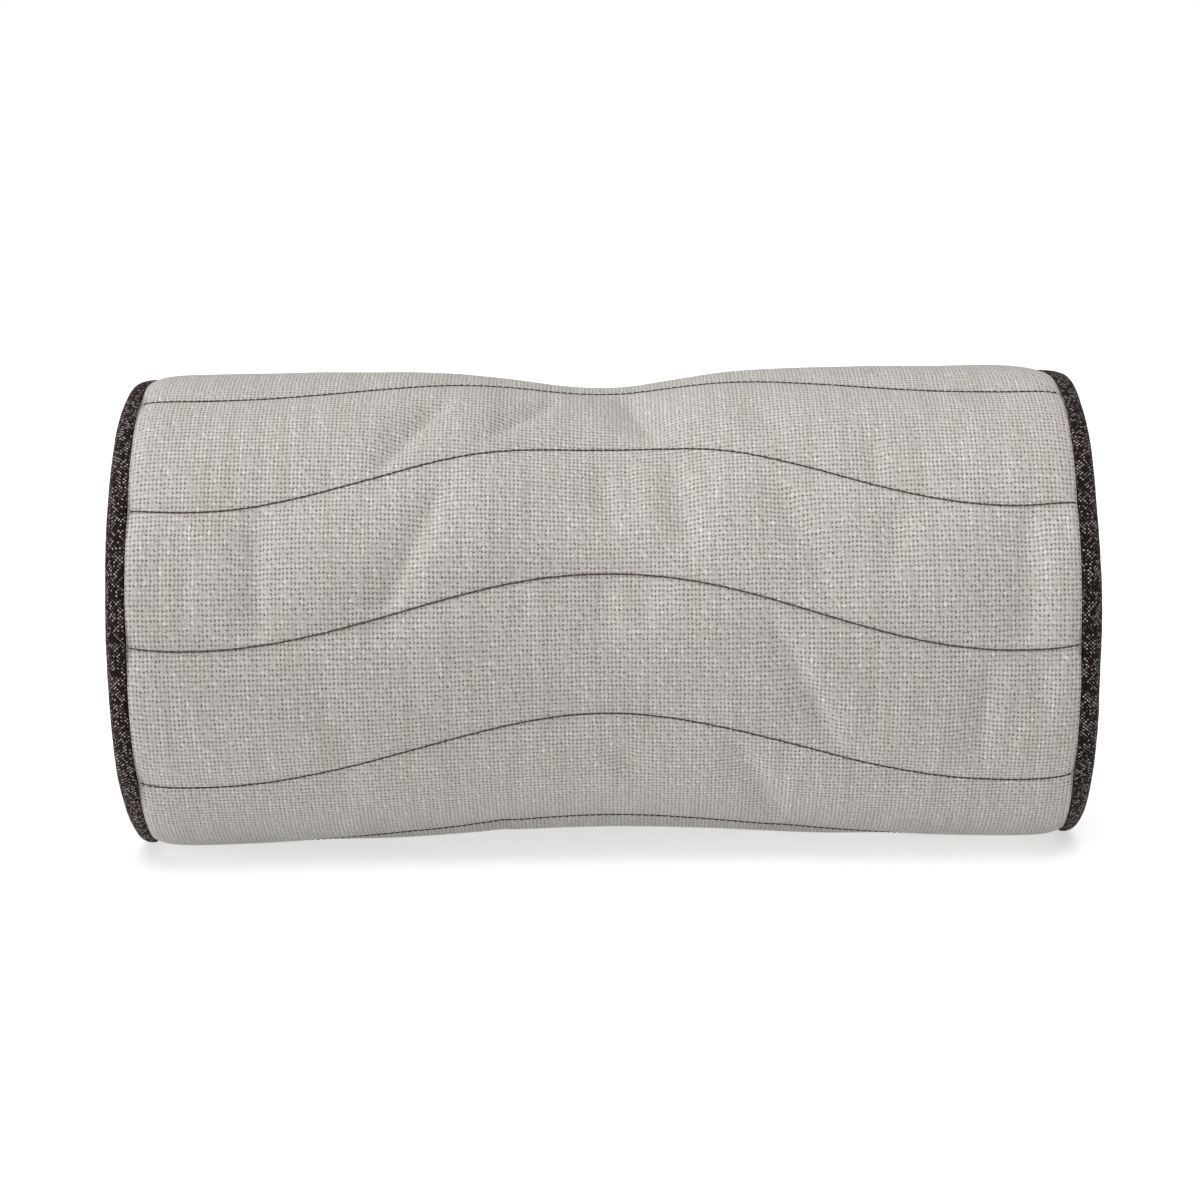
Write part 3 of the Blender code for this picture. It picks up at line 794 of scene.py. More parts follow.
class Dresser:
    """Makes every material once, and dresses the finished pieces."""

    def __init__(self) -> None:
        """Makes the materials."""
        self.materials = {slot: finish.make() for slot, finish in FINISHES.items()}

    def dress(self, obj: Piece, slot: str, node: str, body: str = CUSHION) -> None:
        """Gives a finished piece its material and its body, and hides the CAD node that it replaces.

        Args:
            obj: The piece.
            slot: The record's material slot.
            node: The CAD node that it replaces.
            body: The body that it rides on.
        """
        obj.data.materials.clear()
        obj.data.materials.append(self.materials[slot])
        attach(obj, body)
        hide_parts(node)
        LOG.info("%s: %d faces, on %s", obj.name, len(obj.data.polygons), body)


# ----------------------------------------- The roll's form ------------------------------------------


# Lines sewn off their plain waves: the wave's lowest angle, then its shift at the left, middle and right.
LINE_DRIFTS = (
    (-73.5, -7.0, -7.0, -7.0),
    (-37.5, 0.6, 0.0, 0.0),
    (-1.5, 2.0, 0.0, 0.0),
    (34.5, -1.1, 0.0, -1.7),
    (70.5, 0.0, -3.5, 0.0),
)


@dataclass(frozen=True)
class Roll:
    """The pillow's outer form, and the wavy pattern it is quilted in. Depths are below the surface.

    Attributes:
        radius: Of the roll.
        seam_reach: From the middle of the roll to each end seam.
        rest_sag: How far the roll flattens under its own weight.
        rest_ease: Height over which the cloth eases on to the floor.
        waist_depths: How far the middle is drawn in, underneath and on top.
        waist_spreads: How gently that fades along the roll, underneath and on top.
        pull_angle: Where the end seams are pulled in, near the top.
        pull_spreads: How gently that fades round the roll, towards the front and the back.
        pulls: How far they are pulled in, at the left end and the right.
        pull_width: From the seam out to where the band is straight again.
        foot_angle: Where the right end stands out, underneath.
        foot_spread: How gently that fades round the roll.
        foot_splay: How far it stands out.
        lean_reach: Length of roll at each end that leans with its seam.
        channels: Number of puffed bands between quilting lines.
        first_angle: Angle of the first line at the waves' lowest places.
        rise: Height of the waves, in degrees.
        period: Length of one wave.
        groove: How far the stitching draws the face in.
        groove_reach: How far from a line that is felt.
        tuck: How far the end seams draw the face in.
        tuck_fade: How gently that fades along the roll.
        zip_channel: The channel that holds the zip.
        zip_reach: From the middle of the roll to each end of the zip's opening.
        slit: From the middle of the zip to the cloth's edge.
        fold: From the middle of the zip to where the face lies flat on its tape.
        rim: From the middle of the zip to where the face is full height again.
        valley: Depth of the face beside the zip.
    """

    radius: float = 99 * MM
    seam_reach: float = 187 * MM
    rest_sag: float = 3 * MM
    rest_ease: float = 4 * MM
    waist_depths: tuple[float, float] = (6.6 * MM, 7.6 * MM)
    waist_spreads: tuple[float, float] = (70 * MM, 30 * MM)
    pull_angle: float = 108.0
    pull_spreads: tuple[float, float] = (13.0, 36.0)
    pulls: tuple[float, float] = (4.5 * MM, 12 * MM)
    pull_width: float = 6.5 * MM
    foot_angle: float = -80.0
    foot_spread: float = 26.0
    foot_splay: float = 2 * MM
    lean_reach: float = 55 * MM
    channels: int = 10
    first_angle: float = -1.5
    rise: float = 19.5
    period: float = 326 * MM
    groove: float = 1.9 * MM
    groove_reach: float = 23 * MM
    tuck: float = 2.4 * MM
    tuck_fade: float = 4.5 * MM
    zip_channel: int = 4
    zip_reach: float = 158 * MM
    slit: float = 4.3 * MM
    fold: float = 7.3 * MM
    rim: float = 12 * MM
    valley: float = 4.5 * MM

    @property
    def axis_height(self) -> float:
        """Height of the roll's axis."""
        return self.radius - self.rest_sag

    @property
    def channel_angle(self) -> float:
        """Angle from one quilting line to the next."""
        return 360 / self.channels

    @property
    def zip_angle(self) -> float:
        """The zip lies midway between two lines where they come closest."""
        line_above = self.first_angle + (self.zip_channel + 1) * self.channel_angle
        return line_above - (self.channel_angle - self.rise) / 2

    def from_zip(self, angle: Array) -> Array:
        """Angle away from the zip, from 0 to 180 degrees."""
        return np.abs(wrapped(angle - self.zip_angle))

    def cloth_uv(self, x: Array, angle: Array) -> Array:
        """Cloth coordinates, in metres: along the roll and round it."""
        return np.stack([x, np.radians(angle) * self.radius], axis=-1)

    def waist(self, x: Array, angle: Array) -> Array:
        """How far the roll is drawn in. The stiff zip keeps it straight at the back.

        Args:
            x: Distances along the roll.
            angle: Angles round it.

        Returns:
            The depths.
        """
        depths = zip(self.waist_depths, self.waist_spreads)
        low, high = (depth * np.exp(-0.5 * (x / spread) ** 2) for depth, spread in depths)
        drawn = mix(low, high, smooth_step(-0.9, 0.9, np.sin(np.radians(angle))))
        return drawn * smooth_step(10, 60, self.from_zip(angle))

    def lean(self, x: Array, angle: Array) -> Array:
        """How far the ends stand out along X: the seams are pulled in on top, and the right foot is splayed.

        Args:
            x: Distances along the roll.
            angle: Angles round it.

        Returns:
            The shifts.
        """
        past_pull = wrapped(angle - self.pull_angle)
        to_front, to_back = self.pull_spreads
        round_top = np.exp(-0.5 * (past_pull / np.where(past_pull > 0, to_back, to_front)) ** 2)
        round_foot = np.exp(-0.5 * (wrapped(angle - self.foot_angle) / self.foot_spread) ** 2)
        reach = np.abs(x)
        near_seam = smooth_step(self.seam_reach - self.lean_reach, self.seam_reach, reach)
        past_seam = smooth_step(self.seam_reach, self.seam_reach + self.pull_width, reach)
        pull = near_seam * (1 - past_seam) * round_top
        left, right = self.pulls
        return np.where(x > 0, self.foot_splay * near_seam * round_foot - right * pull, left * pull)

    def place(self, x: Grid, angle: Grid, depth: Grid, sunk: Grid = 0.0) -> Array:
        """Points of a layer, with the waist, the leaning ends and the flat it rests on.

        Args:
            x: Distances along the roll.
            angle: Angles round it.
            depth: How deep the layer lies.
            sunk: How much further stitching draws it in.

        Returns:
            An array with one more axis, of X, Y and Z.
        """
        x, angle, depth, sunk = np.broadcast_arrays(x, angle, depth, sunk)
        reach = self.radius - depth - sunk - self.waist(x, angle)
        spare = self.axis_height + reach * np.sin(np.radians(angle)) - depth
        # The cloth eases on to the floor, without a hard edge.
        above = np.maximum(spare, 0.0)
        eased = np.where(spare > self.rest_ease, spare, above**2 / (2 * self.rest_ease) + above / 2)
        side = -reach * np.cos(np.radians(angle))
        return np.stack([x + self.lean(x, angle), side, eased + depth], axis=-1)

    def drift(self, x: Array, angle: Array) -> Array:
        """How far, in degrees, the front's lines were sewn off their plain waves.

        Args:
            x: Distances along the roll.
            angle: Where the plain waves are lowest.

        Returns:
            The shifts.
        """
        left, right = (smooth_step(40 * MM, 160 * MM, side * x) for side in (-1, 1))
        shift = 0.0
        for middle, at_left, at_middle, at_right in LINE_DRIFTS:
            near = np.exp(-(((angle - middle) / 15) ** 2))
            shift = shift + near * (at_middle + (at_left - at_middle) * left + (at_right - at_middle) * right)
        return shift

    def climb(self, x: Array) -> Array:
        """Height of the plain waves, in degrees."""
        return self.rise * (1 + np.cos(2 * math.pi * x / self.period)) / 2

    def stitch_angle(self, line: Grid, x: Array) -> Array:
        """Angle of a quilting line at a place along the roll."""
        angle = self.first_angle + line * self.channel_angle
        return angle + self.climb(x) + self.drift(x, wrapped(angle))

    def from_line(self, x: Array, angle: Array) -> Array:
        """Distance round the roll to the nearest quilting line.

        Args:
            x: Distances along the roll.
            angle: Angles round it.

        Returns:
            The distances.
        """
        flat = wrapped(angle - self.climb(x))
        # The drift depends on where a wave is lowest, which a few rounds of this find.
        lowest = flat
        for _ in range(5):
            lowest = flat - self.drift(x, lowest)
        line = (lowest - self.first_angle) / self.channel_angle
        return np.abs(line - np.round(line)) * math.radians(self.channel_angle) * self.radius

    def quilted(self, x: Array, angle: Array) -> Array:
        """How far stitching sinks the face: grooves, the valley beside the zip and the tuck at the end seams.

        Args:
            x: Distances along the roll.
            angle: Angles round it.

        Returns:
            The depths.
        """
        groove = self.groove * np.maximum(0.0, 1 - self.from_line(x, angle) / self.groove_reach) ** 2
        beside = np.radians(self.from_zip(angle)) * self.radius
        fade = 1 - 0.65 * smooth_step(self.zip_reach + 8 * MM, self.seam_reach, np.abs(x))
        valley = self.valley * fade * (1 - smooth_step(self.fold, 15 * MM, beside))
        tuck = self.tuck * np.exp(-(self.seam_reach - np.abs(x)) / self.tuck_fade)
        return np.maximum(groove, valley) + 0.3 * np.minimum(groove, valley) + tuck


@dataclass(frozen=True)
class Crease:
    """A fold line between two soft puffs, which the stitching or the stuffing leaves in the cloth.

    Attributes:
        start: Distance along the roll in millimetres, and angle round it in degrees, of one end.
        end: The same of the other.
        depth: How deep it is on its slopes, in millimetres.
        width: Of its left-hand side, in millimetres.
        crisp: Width of its right-hand side, as a share of the left's.
    """

    start: tuple[float, float]
    end: tuple[float, float]
    depth: float
    width: float
    crisp: float = 0.7

    def push(self, roll: Roll, x: Array, angle: Array) -> Array:
        """How far this crease sinks each place on the cloth.

        Args:
            roll: The form that it lies on.
            x: Distances along the roll.
            angle: Angles round it.

        Returns:
            The depths.
        """
        arc = math.radians(1) * roll.radius
        middle = ((self.start[0] + self.end[0]) / 2 * MM, (self.start[1] + self.end[1]) / 2)
        run = np.array([(self.end[0] - self.start[0]) * MM, (self.end[1] - self.start[1]) * arc])
        half = np.linalg.norm(run) / 2
        lengthwise = run / (2 * half)
        right = np.array([abs(lengthwise[1]), -lengthwise[0] * math.copysign(1, lengthwise[1])])
        dx = x - middle[0]
        dy = wrapped(angle - middle[1]) * arc
        along = (dx * lengthwise[0] + dy * lengthwise[1]) / half
        across = (dx * right[0] + dy * right[1]) / (self.width * MM)
        across = np.where(across > 0, across / self.crisp, across)
        fade = 1 - smooth_step(0.35, 1.35, np.abs(along))
        # A sharp valley with a slightly rounded bottom.
        round_off = 0.25
        return 1.5 * self.depth * MM * np.exp(round_off - np.sqrt(across**2 + round_off**2)) * fade


# The folds of the front and the top, from the left end to the right.
FRONT_CREASES = (
    Crease((-174, 26), (-175, 5), 0.9, 6),
    Crease((-137, 33), (-135, 0), 3.2, 8),
    Crease((-161, 30), (-164, 4), 1.2, 8),
    Crease((-108, -2), (-110, -21), 0.6, 6),
    Crease((-88, 45), (-62, 70), 3.2, 8, 0.5),
    Crease((-88, 6), (-60, 44), 3.0, 10, 0.5),
    Crease((-46, 55), (-16, 77), 2.8, 7, 0.5),
    Crease((-66, 56), (-50, 70), 0.8, 6),
    Crease((-38, -6), (-30, 12), 0.6, 6),
    Crease((-98, 20), (-88, 46), 0.8, 8),
    Crease((9, 84), (22, 55), 4.0, 9, 0.8),
    Crease((-2, 48), (4, 30), 1.8, 7),
    Crease((10, 50), (13, 32), 1.5, 5),
    Crease((28, 52), (34, 21), 2.8, 7, 0.7),
    Crease((-1, 18), (3, 2), 1.9, 6),
    Crease((16, 16), (18, 4), 1.1, 5),
    Crease((7, -26), (8, -38), 1.4, 7),
    Crease((39, 3), (41, -14), 0.5, 6),
    Crease((66, 42), (94, 8), 3.2, 12, 0.4),
    Crease((64, 9), (93, -27), 3.4, 12, 0.35),
    Crease((52, -25), (72, -57), 2.2, 10, 0.5),
    Crease((57, 70), (72, 52), 0.9, 6),
    Crease((107, 54), (110, 38), 1.2, 6, 0.5),
    Crease((115, 33), (114, 16), 1.6, 8),
    Crease((108, -8), (108, -28), 0.8, 6),
    Crease((168, 33), (167, -3), 3.4, 12, 0.4),
    Crease((146, -31), (153, -3), 1.9, 8, 0.6),
    Crease((159, -31), (164, -9), 0.8, 5),
    Crease((172, -3), (172, -20), 1.6, 7, 0.6),
)


@dataclass
class QuiltedCover:
    """The cover's three layers and the thread that holds them together.

    Attributes:
        roll: The form that they take.
        dresser: Dresses the pieces.
        channel_steps: Columns of cloth from one quilting line to the next, before the last smoothing.
        station_gap: From one row of cloth to the next, before the last smoothing.
        seam_rows: How far inside each end seam the closer rows lie.
        face_thickness: Of the face cloth.
        growth: How much longer the face is cut than the seams that hold it.
        stitch: Length of one stitch.
        thread_radius: Of the sewing thread.
        frames: Steps that the cloth is given to settle in.
        lift_limit: How far the settled cloth may rise off the smooth form.
        slide_limit: How far it may slide along it.
        pucker: Depth of the fine puckers along the stitching.
        rumple: Depth of the slow unevenness all over.
        creases: The folds pressed into the face.
        rows: The grid's places along the roll.
        angles: The grid's angles.
        points: The grid's points on the face, before the folds.
        surface: The finished face, for the thread to lie on.
    """

    roll: Roll
    dresser: Dresser
    channel_steps: int = 17
    station_gap: float = 3.7 * MM
    seam_rows: tuple[float, ...] = (3.2 * MM, 1.6 * MM, 0.5 * MM, 0.0)
    face_thickness: float = 0.9 * MM
    growth: float = 0.012
    stitch: float = 2.7 * MM
    thread_radius: float = 0.38 * MM
    frames: int = 22
    lift_limit: float = 2.2 * MM
    slide_limit: float = 1 * MM
    pucker: float = 0.5 * MM
    rumple: float = 0.3 * MM
    creases: list[Crease] = field(default_factory=list, init=False)
    rows: Array = field(init=False)
    angles: Array = field(init=False)
    points: Array = field(init=False)
    surface: BVHTree = field(init=False)

    def stations(self) -> Array:
        """Places of the rows along the roll, closer together at the end seams."""
        inner = self.roll.seam_reach - 5 * MM
        rows = np.linspace(-inner, inner, round(2 * inner / self.station_gap) + 1)
        at_seam = self.roll.seam_reach - np.array(self.seam_rows)
        return np.concatenate([-at_seam[::-1], rows, at_seam])

    def columns(self, x: Array) -> tuple[Array, Array]:
        """Angles of the lengthwise lines of cloth, from one side of the zip round to the other.

        Args:
            x: The rows' places along the roll.

        Returns:
            Rows x columns of angles, and for each column whether thread or tape holds it.
        """
        roll = self.roll
        first = roll.zip_channel + 1
        last = roll.zip_channel + roll.channels
        lines = np.arange(first, last + 0.5 / self.channel_steps, 1 / self.channel_steps)
        pattern = np.stack([roll.stitch_angle(line, x) for line in lines], axis=1)
        past_zip = smooth_step(roll.zip_reach, roll.zip_reach + 8 * MM, np.abs(x))
        slit_closes = (roll.slit - 0.35 * MM) * past_zip
        beside = np.array([roll.slit, 5.2 * MM, 6.2 * MM, roll.fold, 8.7 * MM, 10.3 * MM, roll.rim])
        open_share = np.clip((roll.fold - beside) / (roll.fold - roll.slit), 0, 1)
        distance = beside[None, :] - slit_closes[:, None] * open_share[None, :]
        after = roll.zip_angle + np.degrees(distance / roll.radius)
        before = roll.zip_angle + 360 - np.degrees(distance[:, ::-1] / roll.radius)
        spread = np.linspace(0, 1, 8)[1:-1]
        after_gap = mix(after[:, -1:], pattern[:, :1], spread[None, :])
        before_gap = mix(pattern[:, -1:], before[:, :1], spread[None, :])
        angles = np.concatenate([after, after_gap, pattern, before_gap, before], axis=1)
        on_line = np.isclose(lines, np.round(lines))
        loose = np.zeros(len(spread), bool)
        zip_held = beside <= roll.fold
        return angles, np.concatenate([zip_held, loose, on_line, loose, zip_held[::-1]])

    def settle(self, points: Array, held: Array) -> Array:
        """Lets the cloth between the seams find its own puckers.

        Args:
            points: Rows x columns x 3, the smooth quilted form.
            held: Which columns thread or tape holds.

        Returns:
            The points after the cloth has settled.
        """
        piece = grid_piece("settling_cloth", points, points[..., :2])
        fixed = np.zeros(points.shape[:2], bool)
        fixed[:, held] = True
        fixed[:2] = fixed[-2:] = True
        sewn = piece.vertex_groups.new(name="sewn")
        sewn.add([int(n) for n in np.flatnonzero(fixed.ravel())], 1.0, "REPLACE")
        piece.shape_key_add(name="Basis")
        cut = piece.shape_key_add(name="cut")
        longer = points.copy()
        longer[..., 0] *= 1 + self.growth
        cut.data.foreach_set("co", longer.astype(np.float32).ravel())
        cloth = piece.modifiers.new("Cloth", "CLOTH")
        settings = cloth.settings
        settings.quality = 5
        settings.mass = 0.25
        settings.tension_stiffness = settings.compression_stiffness = 12
        settings.shear_stiffness = 6
        settings.bending_stiffness = 0.6
        settings.vertex_group_mass = sewn.name
        settings.rest_shape_key = cut
        settings.use_pressure = True
        settings.uniform_pressure_force = 2.0
        settings.effector_weights.gravity = 0
        cloth.point_cache.frame_start = 1
        cloth.point_cache.frame_end = self.frames
        scene = bpy.context.scene
        for number in range(1, self.frames + 1):
            scene.frame_set(number)
        graph = bpy.context.evaluated_depsgraph_get()
        settled = np.empty(points.size, np.float32)
        piece.evaluated_get(graph).data.vertices.foreach_get("co", settled)
        bpy.data.objects.remove(piece)
        scene.frame_set(1)
        return settled.reshape(points.shape).astype(float)

    def keep_close(self, settled: Array, smooth: Array) -> Array:
        """Limits how far the cloth may lie from the stuffing under it, without a sharp edge at the limit.

        Args:
            settled: The settled points.
            smooth: The points of the smooth form.

        Returns:
            The points, kept close.
        """
        away = settled - smooth
        outwards = smooth - np.array([0, 0, self.roll.axis_height])
        outwards[..., 0] = 0
        outwards /= np.linalg.norm(outwards, axis=-1, keepdims=True)
        lift = (away * outwards).sum(-1, keepdims=True)
        slide = away - outwards * lift
        kept_lift = self.lift_limit * np.tanh(lift / self.lift_limit)
        return smooth + outwards * kept_lift + self.slide_limit * np.tanh(slide / self.slide_limit)

    def build_face(self) -> Piece:
        """The face cloth: quilted, settled, creased and turned in at its edges."""
        x = self.stations()
        self.angles, held = self.columns(x)
        self.rows = np.repeat(x[:, None], self.angles.shape[1], axis=1)
        smooth = self.roll.place(self.rows, self.angles, 0.0, self.roll.quilted(self.rows, self.angles))
        self.points = self.keep_close(self.settle(smooth, held), smooth)
        face = grid_piece("cover_face", self.points, self.roll.cloth_uv(self.rows, self.angles))
        modify(face, "SUBSURF", levels=1, render_levels=1)
        self.crease(face)
        corners = [vertex.co for vertex in face.data.vertices]
        sides = [tuple(polygon.vertices) for polygon in face.data.polygons]
        self.surface = BVHTree.FromPolygons(corners, sides)
        add_wall(face, self.face_thickness)
        face.data.shade_smooth()
        return face

    def press(self, points: Array) -> Array:
        """Presses the creases and the fine puckers along the stitching into points of the face.

        Args:
            points: Any number of points, in rows of X, Y and Z.

        Returns:
            The points, moved.
        """
        x = points[:, 0]
        y, z = points[:, 1], points[:, 2] - self.roll.axis_height
        angle = np.degrees(np.arctan2(z, -y))
        push = sum(crease.push(self.roll, x, angle) for crease in self.creases)
        line = self.roll.from_line(x, angle)
        sewn = np.exp(-line / (5 * MM)) * (1 - np.exp(-line / (1.2 * MM)))
        push += self.pucker * sewn * ripple(x / (6 * MM), np.round(angle / 18) * 3.1)
        push += self.rumple * ripple(x / (21 * MM), angle * 0.08, 7.0)
        near_zip = np.radians(self.roll.from_zip(angle)) * self.roll.radius
        push *= smooth_step(self.roll.fold, 20 * MM, near_zip)
        push *= smooth_step(0, 7 * MM, self.roll.seam_reach - np.abs(x))
        # A dent stays shallow on a stitching line, where the thread already holds the cloth down.
        push *= mix(0.35, 1.0, smooth_step(0, 6 * MM, line))
        # It also stays shallow where the roll rests.
        push *= smooth_step(1 * MM, 14 * MM, points[:, 2])
        outwards = np.stack([0 * x, y, z], axis=1)
        outwards /= np.linalg.norm(outwards, axis=1, keepdims=True)
        return points - outwards * push[:, None]

    def crease(self, face: Piece) -> None:
        """Presses the creases into the finished face.

        Args:
            face: The face cloth.
        """
        flat = np.empty(len(face.data.vertices) * 3, np.float32)
        face.data.vertices.foreach_get("co", flat)
        points = self.press(flat.reshape(-1, 3).astype(float))
        points[:, 2] = np.maximum(points[:, 2], 0.0)
        face.data.vertices.foreach_set("co", points.astype(np.float32).ravel())
        face.data.update()

    def build_wadding(self) -> Piece:
        """The wadding fills the space between the face and the backing."""
        top, bottom = self.face_thickness + 0.6 * MM, self.backing_depth() - 0.3 * MM
        return self.layer("cover_wadding_batt", top, bottom)

    def build_backing(self) -> Piece:
        """The backing cloth, drawn up to the face along the quilting lines."""
        top = self.backing_depth()
        return self.layer("cover_backing_cloth", top, top + 0.45 * MM)

    def backing_depth(self) -> Array:
        """Depth of the backing below the roll's outer form, under each point of the face's grid."""
        sewn = np.maximum(0.0, 1 - self.roll.from_line(self.rows, self.angles) / self.roll.groove_reach) ** 2
        return mix(8.2 * MM, 6.2 * MM, sewn)

    def layer(self, name: str, top: Grid, bottom: Array) -> Piece:
        """A closed layer under the face, kept back from the zip and the end seams.

        Args:
            name: The piece's name.
            top: Depth of its outer side: below the face as a number, below the roll's outer form as an array.
            bottom: Depth of its inner side, below the roll's outer form.

        Returns:
            The new object.
        """
        beside = np.radians(self.roll.from_zip(self.angles)).min(axis=0) * self.roll.radius
        kept = beside > self.roll.rim + 1 * MM
        x, angle, bottom = (grid[3:-3][:, kept] for grid in (self.rows, self.angles, bottom))
        if isinstance(top, float):
            face = self.points[3:-3][:, kept]
            outer = self.press(face.reshape(-1, 3)).reshape(face.shape) - outward(angle) * top
            outer[..., 2] = np.maximum(outer[..., 2], top)
        else:
            outer = self.roll.place(x, angle, top[3:-3][:, kept])
        inner = self.roll.place(x, angle, bottom)
        piece = grid_piece(name, outer, self.roll.cloth_uv(x, angle))
        with opened(piece) as shape:
            shape.verts.ensure_lookup_table()
            copied = bmesh.ops.duplicate(shape, geom=shape.verts[:] + shape.edges[:] + shape.faces[:])["geom"]
            lower = [item for item in copied if isinstance(item, bmesh.types.BMVert)]
            under = [item for item in copied if isinstance(item, bmesh.types.BMFace)]
            for vertex, place in zip(lower, inner.reshape(-1, 3)):
                vertex.co = place
            bmesh.ops.reverse_faces(shape, faces=under)
            bmesh.ops.bridge_loops(shape, edges=[edge for edge in shape.edges if edge.is_boundary])
            bmesh.ops.recalc_face_normals(shape, faces=shape.faces)
        piece.data.shade_smooth()
        return piece

    def stitch_rings(self, route: Route, reach: float) -> tuple[Array, Array, Array]:
        """Rings of points round the thread of a row of lockstitches.

        Args:
            route: Gives a point and, after it, the outward direction, for each place along the roll.
            reach: From the middle of the roll to each end of the row.

        Returns:
            Stitches x rings x sides x 3 of points, the rings' distances along the thread, the sides' angles.
        """
        fine = np.linspace(-reach, reach, 1500)
        length = np.concatenate([[0], np.cumsum(np.linalg.norm(np.diff(route(fine)[:, :3], axis=0), axis=1))])
        count = round(length[-1] / self.stitch)
        # Along a stitch the thread comes up from one needle hole, swells and dips into the next.
        share = np.array([-0.04, 0.06, 0.3, 0.5, 0.7, 0.94, 1.04])
        swell = np.tile(np.array([0.5, 0.85, 1.0, 1.05, 1.0, 0.85, 0.5]), count) * self.thread_radius
        lift = np.tile(np.array([-0.5, 0.0, 0.45, 0.55, 0.45, 0.0, -0.5]), count) * self.thread_radius
        along = ((np.arange(count)[:, None] + share[None, :]) * self.stitch).ravel()
        x = np.interp(along, length, fine)
        found = route(x)
        out = found[:, 3:]
        point = self.on_face(found[:, :3], out)
        ahead = route(x + 0.5 * MM)[:, :3] - route(x - 0.5 * MM)[:, :3]
        ahead /= np.linalg.norm(ahead, axis=1, keepdims=True)
        side = np.cross(ahead, out)
        turns = np.linspace(0, 2 * math.pi, 6, endpoint=False)
        up = (lift[:, None] + swell[:, None] * np.sin(turns))[..., None]
        across = (swell[:, None] * np.cos(turns))[..., None]
        ring = point[:, None] + out[:, None] * up + side[:, None] * across
        # Under the roll the thread is pressed flat.
        ring[..., 2] = np.maximum(ring[..., 2], 0.0)
        return ring.reshape(count, len(share), len(turns), 3), along, turns

    def build_stitching(self, name: str, route: Route, reach: float) -> Piece:
        """A row of lockstitches along a route on the face, each dipping into its needle holes.

        Args:
            name: The piece's name.
            route: Gives a point and, after it, the outward direction, for each place along the roll.
            reach: From the middle of the roll to each end of the row.

        Returns:
            The new object, one mesh for the whole row.
        """
        points, along, turns = self.stitch_rings(route, reach)
        count, rings, sides = points.shape[:3]
        faces = []
        for start in range(0, count * rings * sides, rings * sides):
            faces.append([start + n for n in range(sides)])
            for base in range(start, start + (rings - 1) * sides, sides):
                for n in range(sides):
                    after = (n + 1) % sides
                    faces.append([base + n, base + sides + n, base + sides + after, base + after])
            end = start + (rings - 1) * sides
            faces.append([end + n for n in reversed(range(sides))])
        mesh = bpy.data.meshes.new(name)
        mesh.from_pydata(points.reshape(-1, 3).tolist(), [], faces)
        layer = mesh.uv_layers.new(name=CLOTH_UV)
        around = np.tile(turns * self.thread_radius, count * rings)
        vertex_uv = np.stack([np.repeat(along, sides), around], axis=1)
        loops = np.empty(len(mesh.loops), np.int32)
        mesh.loops.foreach_get("vertex_index", loops)
        layer.data.foreach_set("uv", vertex_uv[loops].astype(np.float32).ravel())
        obj = add_object(name, mesh)
        with opened(obj) as shape:
            bmesh.ops.recalc_face_normals(shape, faces=shape.faces)
        mesh.shade_smooth()
        return obj

    def on_face(self, points: Array, out: Array) -> Array:
        """Moves points along their outward directions on to the finished face.

        Args:
            points: Rows of X, Y and Z.
            out: The directions.

        Returns:
            The points, moved.
        """
        reach = 6 * MM
        moved = points.copy()
        for n, (point, way) in enumerate(zip(points, out)):
            hit = self.surface.ray_cast(Vector(point + way * reach), Vector(-way), 2 * reach)[0]
            if hit is not None:
                moved[n] = hit
        return moved

    def on_route(self, angle_at: Route) -> Route:
        """Route on the face.

        Args:
            angle_at: Gives the route's angle for each place along the roll.

        Returns:
            A function that gives a point and, after it, the outward direction.
        """

        def route(x: Array) -> Array:
            """Points and directions of the route."""
            angle = angle_at(x)
            point = self.roll.place(x, angle, 0.0, self.roll.quilted(x, angle))
            return np.concatenate([point, outward(angle)], axis=1)

        return route

    def build(self) -> None:
        """Builds and dresses the cover."""
        roll, dress = self.roll, self.dresser.dress
        self.creases += [*FRONT_CREASES, *self.chance_creases()]
        face = self.build_face()
        dress(face, "face", "cover_panel")
        wadding = self.build_wadding()
        dress(wadding, "wadding", "cover_wadding")
        dress(self.build_backing(), "backing", "cover_backing")
        for number in range(1, roll.channels + 1):
            route = self.on_route(partial(roll.stitch_angle, roll.zip_channel + number))
            row = self.build_stitching(f"quilting_stitches_{number:02d}", route, roll.seam_reach - 1 * MM)
            dress(row, "thread", f"quilting_thread_{number:02d}")
        for side in ZipSide:
            name = side.name.lower()
            angle = roll.zip_angle + side.value * math.degrees((roll.slit + 1.5 * MM) / roll.radius)
            route = self.on_route(partial(np.full_like, fill_value=angle))
            row = self.build_stitching(f"zip_topstitches_{name}", route, roll.zip_reach)
            dress(row, "thread", f"zip_stitching_{name}")

    def chance_creases(self) -> list[Crease]:
        """Creases of the same kind for the back and the underside, scattered with a fixed seed."""
        chance = random.Random(11)
        found = []
        for line in range(2, self.roll.channels):
            for part in range(6):
                x = mix(-165, 165, (part + chance.uniform(0.2, 0.8)) / 6)
                middle = float(self.roll.stitch_angle(line, np.array(x * MM))) + self.roll.channel_angle / 2
                if not 114 < middle < 285:
                    continue
                lean = x / 10 + chance.uniform(-9, 9)
                reach = chance.uniform(10, 17)
                depth, width = chance.uniform(0.8, 3.0), chance.uniform(6, 11)
                crisp = chance.choice((0.5, 0.7, 1.4, 1.9))
                start, end = (x - lean, middle + reach), (x + lean, middle - reach)
                found.append(Crease(start, end, depth, width, crisp))
        return found


# --------------------------------------------- The ends ---------------------------------------------


